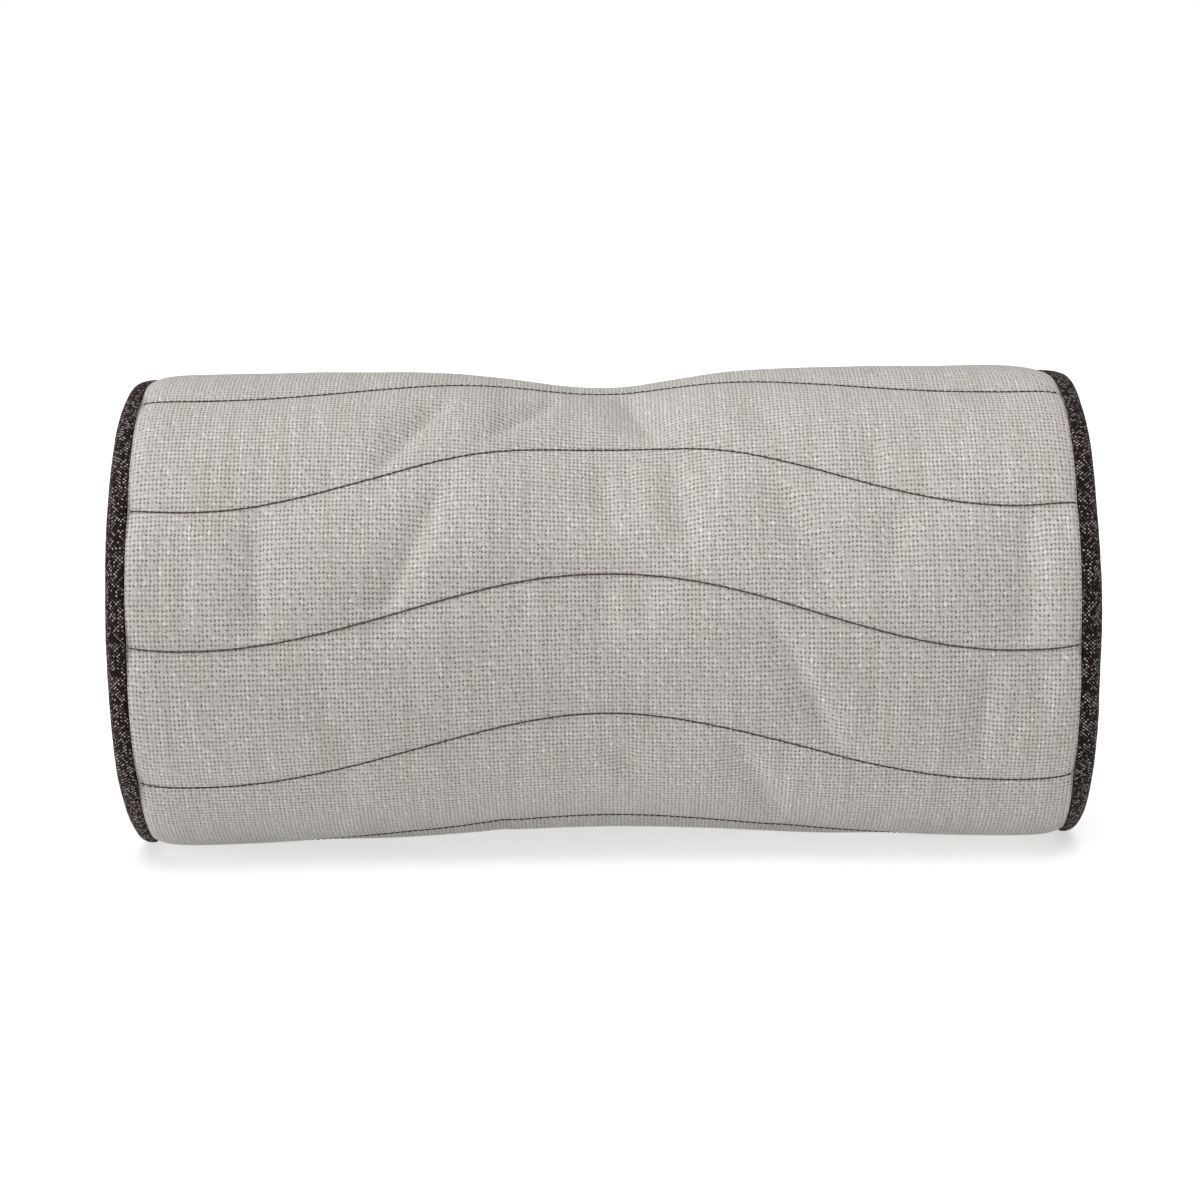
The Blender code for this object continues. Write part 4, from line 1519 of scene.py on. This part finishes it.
@dataclass
class TurnedCloth:
    """Makes round soft pieces from a section that is carried round the roll.

    Attributes:
        roll: The form that they follow.
        around: Number of steps round it.
    """

    roll: Roll
    around: int = 320

    def piece(self, name: str, section: Array, lay: ClothLay, uneven: Unevenness | None = None) -> Piece:
        """Carries a section round the roll and settles it on its flat.

        Args:
            name: The piece's name.
            section: Points of X and radius, with X growing along the outside.
            lay: How the cloth was cut.
            uneven: Gives a rise of the surface, in metres, for each distance along the section and angle.

        Returns:
            An open surface, closed round the roll.
        """
        angle = np.linspace(-90, 270, self.around + 1)
        along = np.concatenate([[0], np.cumsum(np.linalg.norm(np.diff(section, axis=0), axis=1))])
        slope = np.gradient(section, along, axis=0)
        grid_along, grid_angle = np.meshgrid(along, angle, indexing="ij")
        rise = uneven(grid_along, grid_angle) if uneven else np.zeros_like(grid_along)
        x = section[:, :1] - slope[:, 1:] * rise
        radius = np.maximum(section[:, 1:] + slope[:, :1] * rise, 0.0)
        points = self.roll.place(x, grid_angle, self.roll.radius - radius)
        if lay is ClothLay.STRIP:
            grid_along[1:] = np.cumsum(np.linalg.norm(np.diff(points, axis=0), axis=2), axis=0)
            uv = self.roll.cloth_uv(grid_along, grid_angle)
        else:
            uv = points[..., 1:].copy()
        points[:, -1] = points[:, 0]
        obj = grid_piece(name, points[:, :-1], uv, closed=True)
        weld(obj)
        return obj


@dataclass
class RollEnd:
    """One end: a bias band rolled over a filler cord, and a domed panel inside it.

    Attributes:
        end: Which end of the roll.
        turned: Makes its round pieces.
        dresser: Dresses them.
        band_reach: From the middle of the band's section to its widest ring.
        band_drop: From the band's outer edge in to its widest ring.
        band_tuck: How far its outer edge lies below the roll's surface.
        band_turns: Angles of the band's first and last edge on its rounded section.
        thickness: Of the trim cloth.
        bulge: How far the panel stands out at its middle.
        cord_radius: Of the filler cord.
        cord_depth: From the roll's surface to the cord.
        cord_gap: From the end seam to the cord's middle.
        strands: Number of strands in the cord.
        strand_turns: How often each goes round it, on its way round the roll.
    """

    end: End
    turned: TurnedCloth
    dresser: Dresser
    band_reach: float = 7.3 * MM
    band_drop: float = 8.8 * MM
    band_tuck: float = 2.3 * MM
    band_turns: tuple[float, float] = (100.0, -25.0)
    thickness: float = 0.9 * MM
    bulge: float = 4.8 * MM
    cord_radius: float = 2.6 * MM
    cord_depth: float = 4 * MM
    cord_gap: float = 3.3 * MM
    strands: int = 3
    strand_turns: int = 36

    def band_section(self) -> Array:
        """Points of X and radius on the band, from the end seam over the cord and in to the panel."""
        roll = self.turned.roll
        turn = np.radians(np.linspace(*self.band_turns, 26))
        x = self.band_reach * np.cos(turn)
        radius = roll.radius - self.band_tuck - self.band_drop * (1 - np.sin(turn))
        x += roll.seam_reach + 0.3 * MM - x[0]
        return np.stack([x, radius], axis=1)

    def ease_band(self, along: Array, angle: Array) -> Array:
        """Unevenness of the band where it is eased round the end.

        Args:
            along: Distances along its section.
            angle: Angles round the roll.

        Returns:
            The rises.
        """
        turn, seed = np.radians(angle), 3.0 * self.end.value
        slow = ripple(np.cos(turn) * 3 + seed, np.sin(turn) * 3)
        quick = ripple(np.cos(turn) * 14 + seed, np.sin(turn) * 14, 4.0)
        return 0.35 * MM * slow + 0.12 * MM * quick * smooth_step(0, 4 * MM, along)

    def gather_panel(self, along: Array, angle: Array) -> Array:
        """Unevenness of the panel: small gathers at its rim, and softness in its middle.

        Args:
            along: Distances along its section.
            angle: Angles round the roll.

        Returns:
            The rises.
        """
        turn, seed = np.radians(angle), 5.0 * self.end.value
        from_rim = along if self.end is End.RIGHT else along.max() - along
        gathers = ripple(np.cos(turn) * 9 + seed, np.sin(turn) * 9, 2.0)
        gathers = gathers * np.exp(-from_rim / (9 * MM)) * (1 - np.exp(-from_rim / (2 * MM)))
        tuck = -1.2 * MM * np.exp(-from_rim / (1.5 * MM))
        radius = 1 - from_rim / from_rim.max()
        soft = ripple(np.cos(turn) * radius * 2.2 + seed, np.sin(turn) * radius * 2.2, 9.0)
        return 0.7 * MM * gathers + tuck + 0.7 * MM * soft * (1 - radius**4)

    def lay_strands(self, along: Array, angle: Array) -> Array:
        """Hollows between the cord's strands.

        Args:
            along: Distances along its section.
            angle: Angles round the roll.

        Returns:
            The rises.
        """
        round_cord = along / along.max() * 2 * math.pi
        return 0.22 * MM * (np.cos(self.strands * round_cord + np.radians(angle) * self.strand_turns) - 1)

    def build_band(self) -> Piece:
        """The bias band, a little uneven where it is eased round the end."""
        name = f"bias_band_{self.end.name.lower()}"
        section = self.end.face(self.band_section())
        return add_wall(self.turned.piece(name, section, ClothLay.STRIP, self.ease_band), self.thickness)

    def build_panel(self) -> Piece:
        """The domed end panel, with small gathers where it meets the band."""
        rim_x, rim_radius = self.band_section()[-1]
        share = np.linspace(1, 0, 40)
        x = rim_x + self.bulge * (1 - share**2.4)
        section = self.end.face(np.stack([x, (rim_radius - 0.6 * MM) * share], axis=1))
        name = f"domed_panel_{self.end.name.lower()}"
        return add_wall(self.turned.piece(name, section, ClothLay.DISC, self.gather_panel), self.thickness)

    def build_cord(self) -> Piece:
        """The filler cord inside the band: a rope of three strands."""
        roll = self.turned.roll
        turn = np.linspace(0, 2 * math.pi, 13)
        x = roll.seam_reach + self.cord_gap - self.cord_radius * np.cos(turn)
        radius = roll.radius - self.cord_depth - self.cord_radius + self.cord_radius * np.sin(turn)
        section = self.end.face(np.stack([x, radius], axis=1))
        name = f"filler_cord_{self.end.name.lower()}"
        cord = self.turned.piece(name, section, ClothLay.STRIP, self.lay_strands)
        weld(cord, 0.05 * MM)
        return cord

    def build(self) -> None:
        """Builds and dresses this end."""
        name = self.end.name.lower()
        self.dresser.dress(self.build_band(), "trim", f"end_band_{name}")
        self.dresser.dress(self.build_panel(), "trim", f"end_panel_{name}")
        self.dresser.dress(self.build_cord(), "cord", f"end_cord_{name}")


@dataclass
class InnerCushion:
    """The insert: a calico casing, a wrap of fibre and a foam roll.

    Attributes:
        turned: Makes its round pieces.
        dresser: Dresses them.
        depth: From the roll's surface to the casing.
        casing_thickness: Of the calico.
        casing_reach: From the middle of the roll to the casing's end seams.
        casing_bulge: How far its ends stand out.
        wrap_thickness: Of the fibre wrap, with its gap.
        wrap_reach: From the middle of the roll to the wrap's ends.
        core_reach: The same of the foam roll.
        core_gap: From the wrap's inside to the foam.
        core_chamfer: Of the foam's edges.
    """

    turned: TurnedCloth
    dresser: Dresser
    depth: float = 10.1 * MM
    casing_thickness: float = 0.5 * MM
    casing_reach: float = 185.5 * MM
    casing_bulge: float = 10.5 * MM
    wrap_thickness: float = 9.5 * MM
    wrap_reach: float = 178 * MM
    core_reach: float = 181 * MM
    core_gap: float = 2.2 * MM
    core_chamfer: float = 4 * MM

    @property
    def casing_radius(self) -> float:
        """Radius of the casing."""
        return self.turned.roll.radius - self.depth

    def tube(self, radius: float, reach: float, rows: int) -> Array:
        """Section of a plain tube."""
        return np.stack([np.linspace(-reach, reach, rows), np.full(rows, radius)], axis=1)

    def rumple(self, along: Array, angle: Array) -> Array:
        """Unevenness of the loose calico."""
        return 0.25 * MM * (ripple(along / (30 * MM), np.cos(np.radians(angle)) * 4, 1.0) - 1)

    def tuft(self, along: Array, angle: Array) -> Array:
        """Unevenness of the tufted fibre."""
        return 0.5 * MM * (ripple(along / (9 * MM), np.cos(np.radians(angle)) * 12, np.pi) - 1)

    def build_casing(self) -> None:
        """The casing's body and its two ends."""
        section = self.tube(self.casing_radius, self.casing_reach, 90)
        body = self.turned.piece("calico_casing_body", section, ClothLay.STRIP, self.rumple)
        self.dresser.dress(add_wall(body, self.casing_thickness), "calico", "casing_body")
        share = np.linspace(1, 0, 24)
        x = self.casing_reach + self.casing_bulge * (1 - share**2)
        section = np.stack([x, (self.casing_radius - self.casing_thickness - 0.5 * MM) * share], axis=1)
        for end in End:
            name = f"casing_end_{end.name.lower()}"
            cap = self.turned.piece(f"calico_{name}", end.face(section), ClothLay.DISC)
            self.dresser.dress(add_wall(cap, self.casing_thickness), "calico", name)

    def build_wrap(self) -> None:
        """The fibre wrap: a thick loose tube with a tufted outside."""
        section = self.tube(self.casing_radius - self.casing_thickness - 1 * MM, self.wrap_reach, 110)
        wrap = self.turned.piece("bonded_fibre_wrap", section, ClothLay.STRIP, self.tuft)
        add_wall(wrap, self.wrap_thickness - 1 * MM)
        self.dresser.dress(wrap, "fibre", "fibre_wrap")

    def build_core(self) -> None:
        """The foam roll, cut clean at its ends with a small chamfer."""
        radius = self.casing_radius - self.casing_thickness - self.wrap_thickness - self.core_gap
        reach, chamfer = self.core_reach, self.core_chamfer
        cut = np.array([[-reach, 0.0], [-reach, radius * 0.5], [-reach, radius - chamfer]])
        section = np.concatenate([cut, self.tube(radius, reach - chamfer, 60), cut[::-1] * [-1, 1]])
        core = self.turned.piece("foam_roll", section, ClothLay.STRIP)
        core.data.set_sharp_from_angle(angle=math.radians(35))
        self.dresser.dress(core, "foam", "foam_core")

    def build(self) -> None:
        """Builds and dresses the insert."""
        self.build_casing()
        self.build_wrap()
        self.build_core()


# -------------------------------------- The zip and the label ---------------------------------------


@dataclass
class CoilZip:
    """The zip at the back. Its frame lies on the roll's axis: Z points out through the zip, Y down across it.

    Attributes:
        roll: The form that it lies in.
        dresser: Dresses its pieces.
        tape_top: Distance of the tapes' outer side from the roll's axis.
        tape_thickness: Of a tape.
        tape_edges: From the middle of the zip to a tape's inner and outer edge.
        tape_reach: From the middle of the roll to the tapes' ends.
        coil_reach: The same of the coils' ends.
        tooth_pitch: From one turn of the coil to the next.
        tooth_wire: Radius of the monofilament.
        tooth_edges: From the middle of the zip to a coil's inner and outer edge.
        tooth_lean: How far each turn leans along the tape, in degrees.
        stop_x: From the middle of the roll to each stop.
        slider_x: Middle of the slider, closed.
        slider_length: Along the zip.
        slider_half_width: From its middle to its flanges' outside.
        flange_inside: From its middle to its flanges' inside.
        plate: Thickness of its foot.
        arch_height: Of the arch that holds the pull.
        pull_length: From the arch to the pull's free end.
        pull_height: Of the pull's middle, from the roll's axis.
        pull_half_width: At its free end.
        pull_bar: Half of its thickness.
    """

    roll: Roll
    dresser: Dresser
    tape_top: float = 92.95 * MM
    tape_thickness: float = 0.6 * MM
    tape_edges: tuple[float, float] = (0.8 * MM, 11.0 * MM)
    tape_reach: float = 160 * MM
    coil_reach: float = 155.4 * MM
    tooth_pitch: float = 1.25 * MM
    tooth_wire: float = 0.3 * MM
    tooth_edges: tuple[float, float] = (0.25 * MM, 2.6 * MM)
    tooth_lean: float = 20.0
    stop_x: float = 157 * MM
    slider_x: float = 151.7 * MM
    slider_length: float = 8 * MM
    slider_half_width: float = 3.7 * MM
    flange_inside: float = 2.9 * MM
    plate: float = 0.8 * MM
    arch_height: float = 2.8 * MM
    pull_length: float = 22 * MM
    pull_height: float = 97.48 * MM
    pull_half_width: float = 4 * MM
    pull_bar: float = 0.45 * MM

    @property
    def place(self) -> Matrix:
        """The zip's frame."""
        lift = Matrix.Translation((0, 0, self.roll.axis_height))
        return lift @ Matrix.Rotation(math.radians(90 - self.roll.zip_angle), 4, "X")

    def cube(self, name: str, low: Sequence[float], high: Sequence[float]) -> Piece:
        """A cube primitive between two corners in the zip's frame, still to be shaped.

        Args:
            name: The piece's name.
            low: One corner.
            high: The opposite corner.

        Returns:
            The piece.
        """
        bpy.ops.mesh.primitive_cube_add(size=1, location=[(a + b) / 2 for a, b in zip(low, high)])
        obj = bpy.context.object
        obj.name = name
        obj.scale = [b - a for a, b in zip(low, high)]
        only(obj)
        bpy.ops.object.transform_apply(location=True, rotation=False, scale=True)
        return obj

    def bevelled(self, obj: Piece, width: float, segments: int = 3) -> Piece:
        """Rounds the piece's edges, and keeps its flat sides flat in the light.

        Args:
            obj: The piece.
            width: Of the rounding.
            segments: Steps of the rounding.

        Returns:
            The piece.
        """
        modify(obj, "BEVEL", width=width, segments=segments, limit_method="ANGLE")
        only(obj)
        bpy.ops.object.shade_smooth_by_angle(angle=math.radians(35))
        return modify(obj, "WEIGHTED_NORMAL", keep_sharp=True)

    def joined(self, obj: Piece, other: Piece, operation: str = "UNION") -> Piece:
        """Joins another shape to the piece, or cuts it out, and removes the other."""
        modify(obj, "BOOLEAN", operation=operation, object=other)
        bpy.data.objects.remove(other)
        return obj

    def drawn_in(
        self, obj: Piece, test: Callable[[Vector], bool], scale: Sequence[float], centre: Sequence[float]
    ) -> Piece:
        """Scales some of a piece's edges in edit mode.

        Args:
            obj: The piece.
            test: Picks the edges, by their middles.
            scale: Along X, Y and Z.
            centre: The point that stays.

        Returns:
            The piece.
        """
        pick_edges(obj, test)
        bpy.ops.transform.resize(value=scale, center_override=centre)
        bpy.ops.object.mode_set(mode="OBJECT")
        return obj

    def taper(self, obj: Piece) -> Piece:
        """Narrows the slider's flanked shape towards its closed end."""
        x = self.slider_x
        return self.drawn_in(obj, lambda at: at.x < x - MM and abs(at.y) > 2 * MM, (1, 0.9, 1), (x, 0, 0))

    def build_tape(self, side: ZipSide) -> None:
        """One tape: a woven ribbon, even in thickness, under the coil.

        Args:
            side: Of the zip.
        """
        x = np.linspace(-self.tape_reach, self.tape_reach, 220)
        across = np.linspace(*self.tape_edges, 9)
        across = across if side is ZipSide.UPPER else across[::-1]
        grid_x, grid_y = np.meshgrid(x, across, indexing="ij")
        height = self.tape_top - 0.08 * MM * (1 + ripple(grid_x / (18 * MM), grid_y / (5 * MM)))
        points = np.stack([grid_x, side.value * grid_y, height], axis=-1)
        uv = np.stack([grid_x, grid_y], axis=-1)
        tape = grid_piece(f"knitted_tape_{side.name.lower()}", points[:, ::-1], uv[:, ::-1])
        with opened(tape) as shape:
            bmesh.ops.recalc_face_normals(shape, faces=shape.faces)
            if sum(face.normal.z for face in shape.faces) < 0:
                bmesh.ops.reverse_faces(shape, faces=shape.faces)
        add_wall(tape, self.tape_thickness - 0.15 * MM)
        self.dresser.dress(apply_place(tape, self.place), "tape", f"zip_tape_{side.name.lower()}")

    def build_coil(self, side: ZipSide) -> None:
        """One coil: a loop of monofilament, flattened, repeated along the tape.

        Args:
            side: Of the zip.
        """
        inner, outer = self.tooth_edges
        half = (outer - inner) / 2
        bpy.ops.mesh.primitive_torus_add(
            major_radius=half - self.tooth_wire,
            minor_radius=self.tooth_wire,
            major_segments=10,
            minor_segments=5,
            location=(0, 0, 0),
            rotation=(0, math.pi / 2, 0),
        )
        loop = bpy.context.object
        loop.name = f"monofilament_coil_{side.name.lower()}"
        only(loop)
        bpy.ops.object.transform_apply(location=False, rotation=True, scale=False)
        bpy.ops.object.mode_set(mode="EDIT")
        bpy.ops.mesh.select_all(action="SELECT")
        bpy.ops.transform.resize(value=(1, 1, 0.72))
        # Each loop leans along the tape, so that one ends where the next begins.
        lean = math.radians(-self.tooth_lean)
        bpy.ops.transform.rotate(value=lean, orient_axis="Y", center_override=(0, 0, 0))
        bpy.ops.object.mode_set(mode="OBJECT")
        first = self.tooth_pitch / 2 + 0.25 * self.tooth_pitch * side.value - self.coil_reach
        loop.location = (first, side.value * (inner + half), self.tape_top + 1.15 * MM)
        modify(
            loop,
            "ARRAY",
            use_relative_offset=False,
            use_constant_offset=True,
            constant_offset_displace=(self.tooth_pitch, 0, 0),
            count=int(2 * self.coil_reach / self.tooth_pitch),
        )
        loop.data.shade_smooth()
        self.dresser.dress(apply_place(loop, self.place), "coil", f"zip_coil_{side.name.lower()}")

    def build_stops(self) -> None:
        """Crimped metal stops that close the ends of the chain."""
        bottom, top = self.tape_top + 0.3 * MM, self.tape_top + 1.85 * MM
        for name, end in (("bottom", End.LEFT), ("top", End.RIGHT)):
            x = end.value * self.stop_x
            low, high = x - 0.95 * MM, x + 0.95 * MM
            stop = self.cube(f"crimped_stop_{name}", (low, -2.6 * MM, bottom), (high, 2.6 * MM, top))
            groove_low = (low - MM, -0.25 * MM, top - 0.35 * MM)
            groove = self.cube("groove", groove_low, (high + MM, 0.25 * MM, top + MM))
            self.joined(stop, groove, "DIFFERENCE")
            self.bevelled(stop, 0.28 * MM)
            self.dresser.dress(apply_place(stop, self.place), "metal", f"zip_{name}_stop")

    def build_slider(self) -> None:
        """The slider: a top plate with two flanges, a foot, the post between them and the pull's arch."""
        x = self.slider_x
        back, front = x - self.slider_length / 2, x + self.slider_length / 2
        wide, inside = self.slider_half_width, self.flange_inside
        bottom = self.tape_top + 2.6 * MM
        top = bottom + 1 * MM
        overlap = bottom + 0.4 * MM
        body = self.taper(self.cube("zip_slider_body", (back, -wide, bottom), (front, wide, top)))
        for side in ZipSide:
            low, high = sorted((side.value * inside, side.value * wide))
            flange = self.cube("flange", (back, low, self.tape_top + 0.3 * MM), (front, high, overlap))
            self.joined(body, self.taper(flange))
        foot_top = self.tape_top - self.tape_thickness - 0.3 * MM
        foot = self.cube("foot", (back, -inside, foot_top - self.plate), (front, inside, foot_top))
        post_low = (front - 1.4 * MM, -0.2 * MM, foot_top - self.plate / 2)
        self.joined(body, self.cube("post", post_low, (front, 0.2 * MM, overlap)))
        self.joined(body, foot)
        arch_low = (x - 3 * MM, -0.75 * MM, top - 0.5 * MM)
        arch = self.cube("arch", arch_low, (x + 3 * MM, 0.75 * MM, top + self.arch_height))
        self.drawn_in(arch, lambda at: at.z > top + 2 * MM, (0.72, 1, 1), (x, 0, 0))
        hole = self.cube("hole", (x - 2.2 * MM, -2 * MM, top), (x + 2.2 * MM, 2 * MM, top + 2 * MM))
        self.joined(body, self.joined(arch, hole, "DIFFERENCE"))
        self.bevelled(body, 0.16 * MM, 2)
        self.dresser.dress(apply_place(body, self.place), "metal", "zip_slider", "zip_slider")

    def build_pull(self) -> None:
        """The pull: a tapered tab with a ring for the arch and a hole at its free end."""
        x, z, wide, bar = self.slider_x, self.pull_height, self.pull_half_width, self.pull_bar
        end = x - self.pull_length + 0.1 * MM
        pull = self.cube("zip_pull_tab", (end, -wide, z - bar), (x - 4.3 * MM, wide, z + bar))
        self.drawn_in(pull, lambda at: at.x > x - 6 * MM, (1, 0.62, 1), (x, 0, z))
        # The free end is rounded on its two upright corners.
        pick_edges(pull, lambda at: at.x < end + MM and abs(at.y) > 3 * MM)
        bpy.ops.mesh.bevel(offset=3 * MM, segments=8, affect="EDGES")
        bpy.ops.object.mode_set(mode="OBJECT")
        ring = self.cube("ring", (x - 5.4 * MM, -2.1 * MM, z - bar), (x + bar, 2.1 * MM, z + bar))
        self.joined(pull, ring)
        eye = self.cube("eye", (x - 4.2 * MM, -1.2 * MM, z - MM), (x - bar, 1.2 * MM, z + MM))
        self.joined(pull, eye, "DIFFERENCE")
        hole = (x - 18.4 * MM, 0, z)
        bpy.ops.mesh.primitive_cylinder_add(vertices=40, radius=1.7 * MM, depth=4 * MM, location=hole)
        self.joined(pull, bpy.context.object, "DIFFERENCE")
        self.bevelled(pull, 0.3 * MM)
        self.dresser.dress(apply_place(pull, self.place), "metal", "zip_pull", "zip_pull")

    def build(self) -> None:
        """Builds and dresses the zip."""
        for side in ZipSide:
            self.build_tape(side)
            self.build_coil(side)
        self.build_stops()
        self.build_slider()
        self.build_pull()


@dataclass
class CareLabel:
    """A blank satin label, its end caught in the right end seam.

    Attributes:
        roll: The form that it lies on.
        dresser: Dresses it.
        angles: Of its two sides, round the roll.
        length: Along the roll.
        thickness: Of the folded satin.
    """

    roll: Roll
    dresser: Dresser
    angles: tuple[float, float] = (224.0, 241.0)
    length: float = 24 * MM
    thickness: float = 0.35 * MM

    def build(self) -> None:
        """Builds and dresses the label: it lifts a little off the cloth towards its free end."""
        share, angle = np.meshgrid(np.linspace(0, 1, 24), np.linspace(*self.angles, 22), indexing="ij")
        x = self.roll.seam_reach - 0.4 * MM - self.length * (1 - share)
        lift = 1.2 * MM * (1 - share) ** 2 + 0.5 * MM + 0.25 * MM * np.sin(angle * 0.5)
        sunk = self.roll.quilted(x, angle) * smooth_step(0.8, 1.0, share)
        points = self.roll.place(x, angle, -lift, np.minimum(sunk, 1 * MM))
        label = grid_piece("satin_care_label", points, self.roll.cloth_uv(x, angle))
        self.dresser.dress(add_wall(label, self.thickness), "label", "care_label")


# -------------------------------------------- The studio --------------------------------------------


@dataclass
class Studio:
    """A white floor, soft lamps and the camera.

    Attributes:
        roll: The pillow's form.
        distance: From the camera to the roll's axis.
        elevation: The camera's angle above the horizon, in degrees.
        frame_width: Width of the view at the roll's axis.
        roll_angle: How far the camera is tipped, in degrees.
        floor_radius: Of the floor, so wide that its edge lies far off in every view.
        floor_glow: How much light the floor gives off, so that it stays white.
    """

    roll: Roll
    distance: float = 1.37
    elevation: float = 10.0
    frame_width: float = 0.504
    roll_angle: float = 0.7
    floor_radius: float = 60
    floor_glow: float = 0.58

    def build_floor(self) -> None:
        """The pale floor, just clear of the pillow's underside."""
        radius, place = self.floor_radius, (0, 0, -0.1 * MM)
        bpy.ops.mesh.primitive_circle_add(vertices=96, radius=radius, fill_type="NGON", location=place)
        floor = bpy.context.object
        floor.name = "floor"
        paper = bpy.data.materials.new("paper_floor_matt")
        paper.use_nodes = True
        look = {
            "Base Color": linear("C4C4C3"),
            "Roughness": 1.0,
            "Specular IOR Level": 0.0,
            "Emission Color": linear("FFFFFF"),
            "Emission Strength": self.floor_glow,
        }
        feed(paper.node_tree.nodes["Principled BSDF"], look)
        floor.data.materials.append(paper)

    def add_lamp(self, name: str, towards: Sequence[float], spread: float, power: float) -> None:
        """A far, soft lamp.

        Args:
            name: What it is called.
            towards: Direction from the pillow to the lamp.
            spread: Angle that it fills, in degrees.
            power: Its strength.
        """
        lamp = bpy.data.lights.new(name, "SUN")
        lamp.angle = math.radians(spread)
        lamp.energy = power
        obj = add_object(name, lamp)
        obj.location = Vector(towards) * 2
        obj.rotation_euler = Vector(towards).to_track_quat("Z", "Y").to_euler()

    def build_light(self) -> None:
        """A soft lamp from the left, one overhead and a dim surrounding that looks white behind the floor."""
        self.add_lamp("left_lamp", (-0.86, -0.4, 0.18), 40, 2.3)
        self.add_lamp("top_lamp", (0.0, -0.2, 0.98), 60, 3.4)
        world = bpy.data.worlds.new("surrounding")
        world.use_nodes = True
        seen = add_node(world.node_tree, "LightPath", out="Is Camera Ray")
        strength = add_node(world.node_tree, "MapRange", {0: seen, 3: 0.15, 4: 1.0})
        feed(world.node_tree.nodes["Background"], {"Color": linear("FFFFFF"), "Strength": strength})
        bpy.context.scene.world = world

    def build_camera(self) -> None:
        """The camera, level with the pillow's upper front."""
        data = bpy.data.cameras.new("camera")
        data.sensor_width = 36
        data.lens = data.sensor_width * self.distance / self.frame_width
        data.clip_start = 0.05
        camera = add_object("camera", data)
        up = math.radians(self.elevation)
        aim = Vector((-1.3 * MM, 0, self.roll.axis_height + 2.4 * MM))
        camera.location = aim + Vector((0, -math.cos(up), math.sin(up))) * self.distance
        look = (aim - camera.location).to_track_quat("-Z", "Y").to_matrix().to_4x4()
        tipped = look @ Matrix.Rotation(math.radians(-self.roll_angle), 4, "Z")
        camera.rotation_euler = tipped.to_euler()
        bpy.context.scene.camera = camera

    def build(self) -> None:
        """Sets up the studio."""
        self.build_camera()
        self.build_floor()
        self.build_light()
        bpy.context.scene.view_settings.view_transform = "Standard"


def main() -> None:
    """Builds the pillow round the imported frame, piece by piece."""
    logging.basicConfig(level=logging.INFO, format="%(name)s: %(message)s", stream=sys.stdout)
    roll = Roll()
    Studio(roll).build()
    dresser = Dresser()
    QuiltedCover(roll, dresser).build()
    turned = TurnedCloth(roll)
    for end in End:
        RollEnd(end, turned, dresser).build()
    InnerCushion(turned, dresser).build()
    CoilZip(roll, dresser).build()
    CareLabel(roll, dresser).build()


if __name__ == "__main__":
    main()
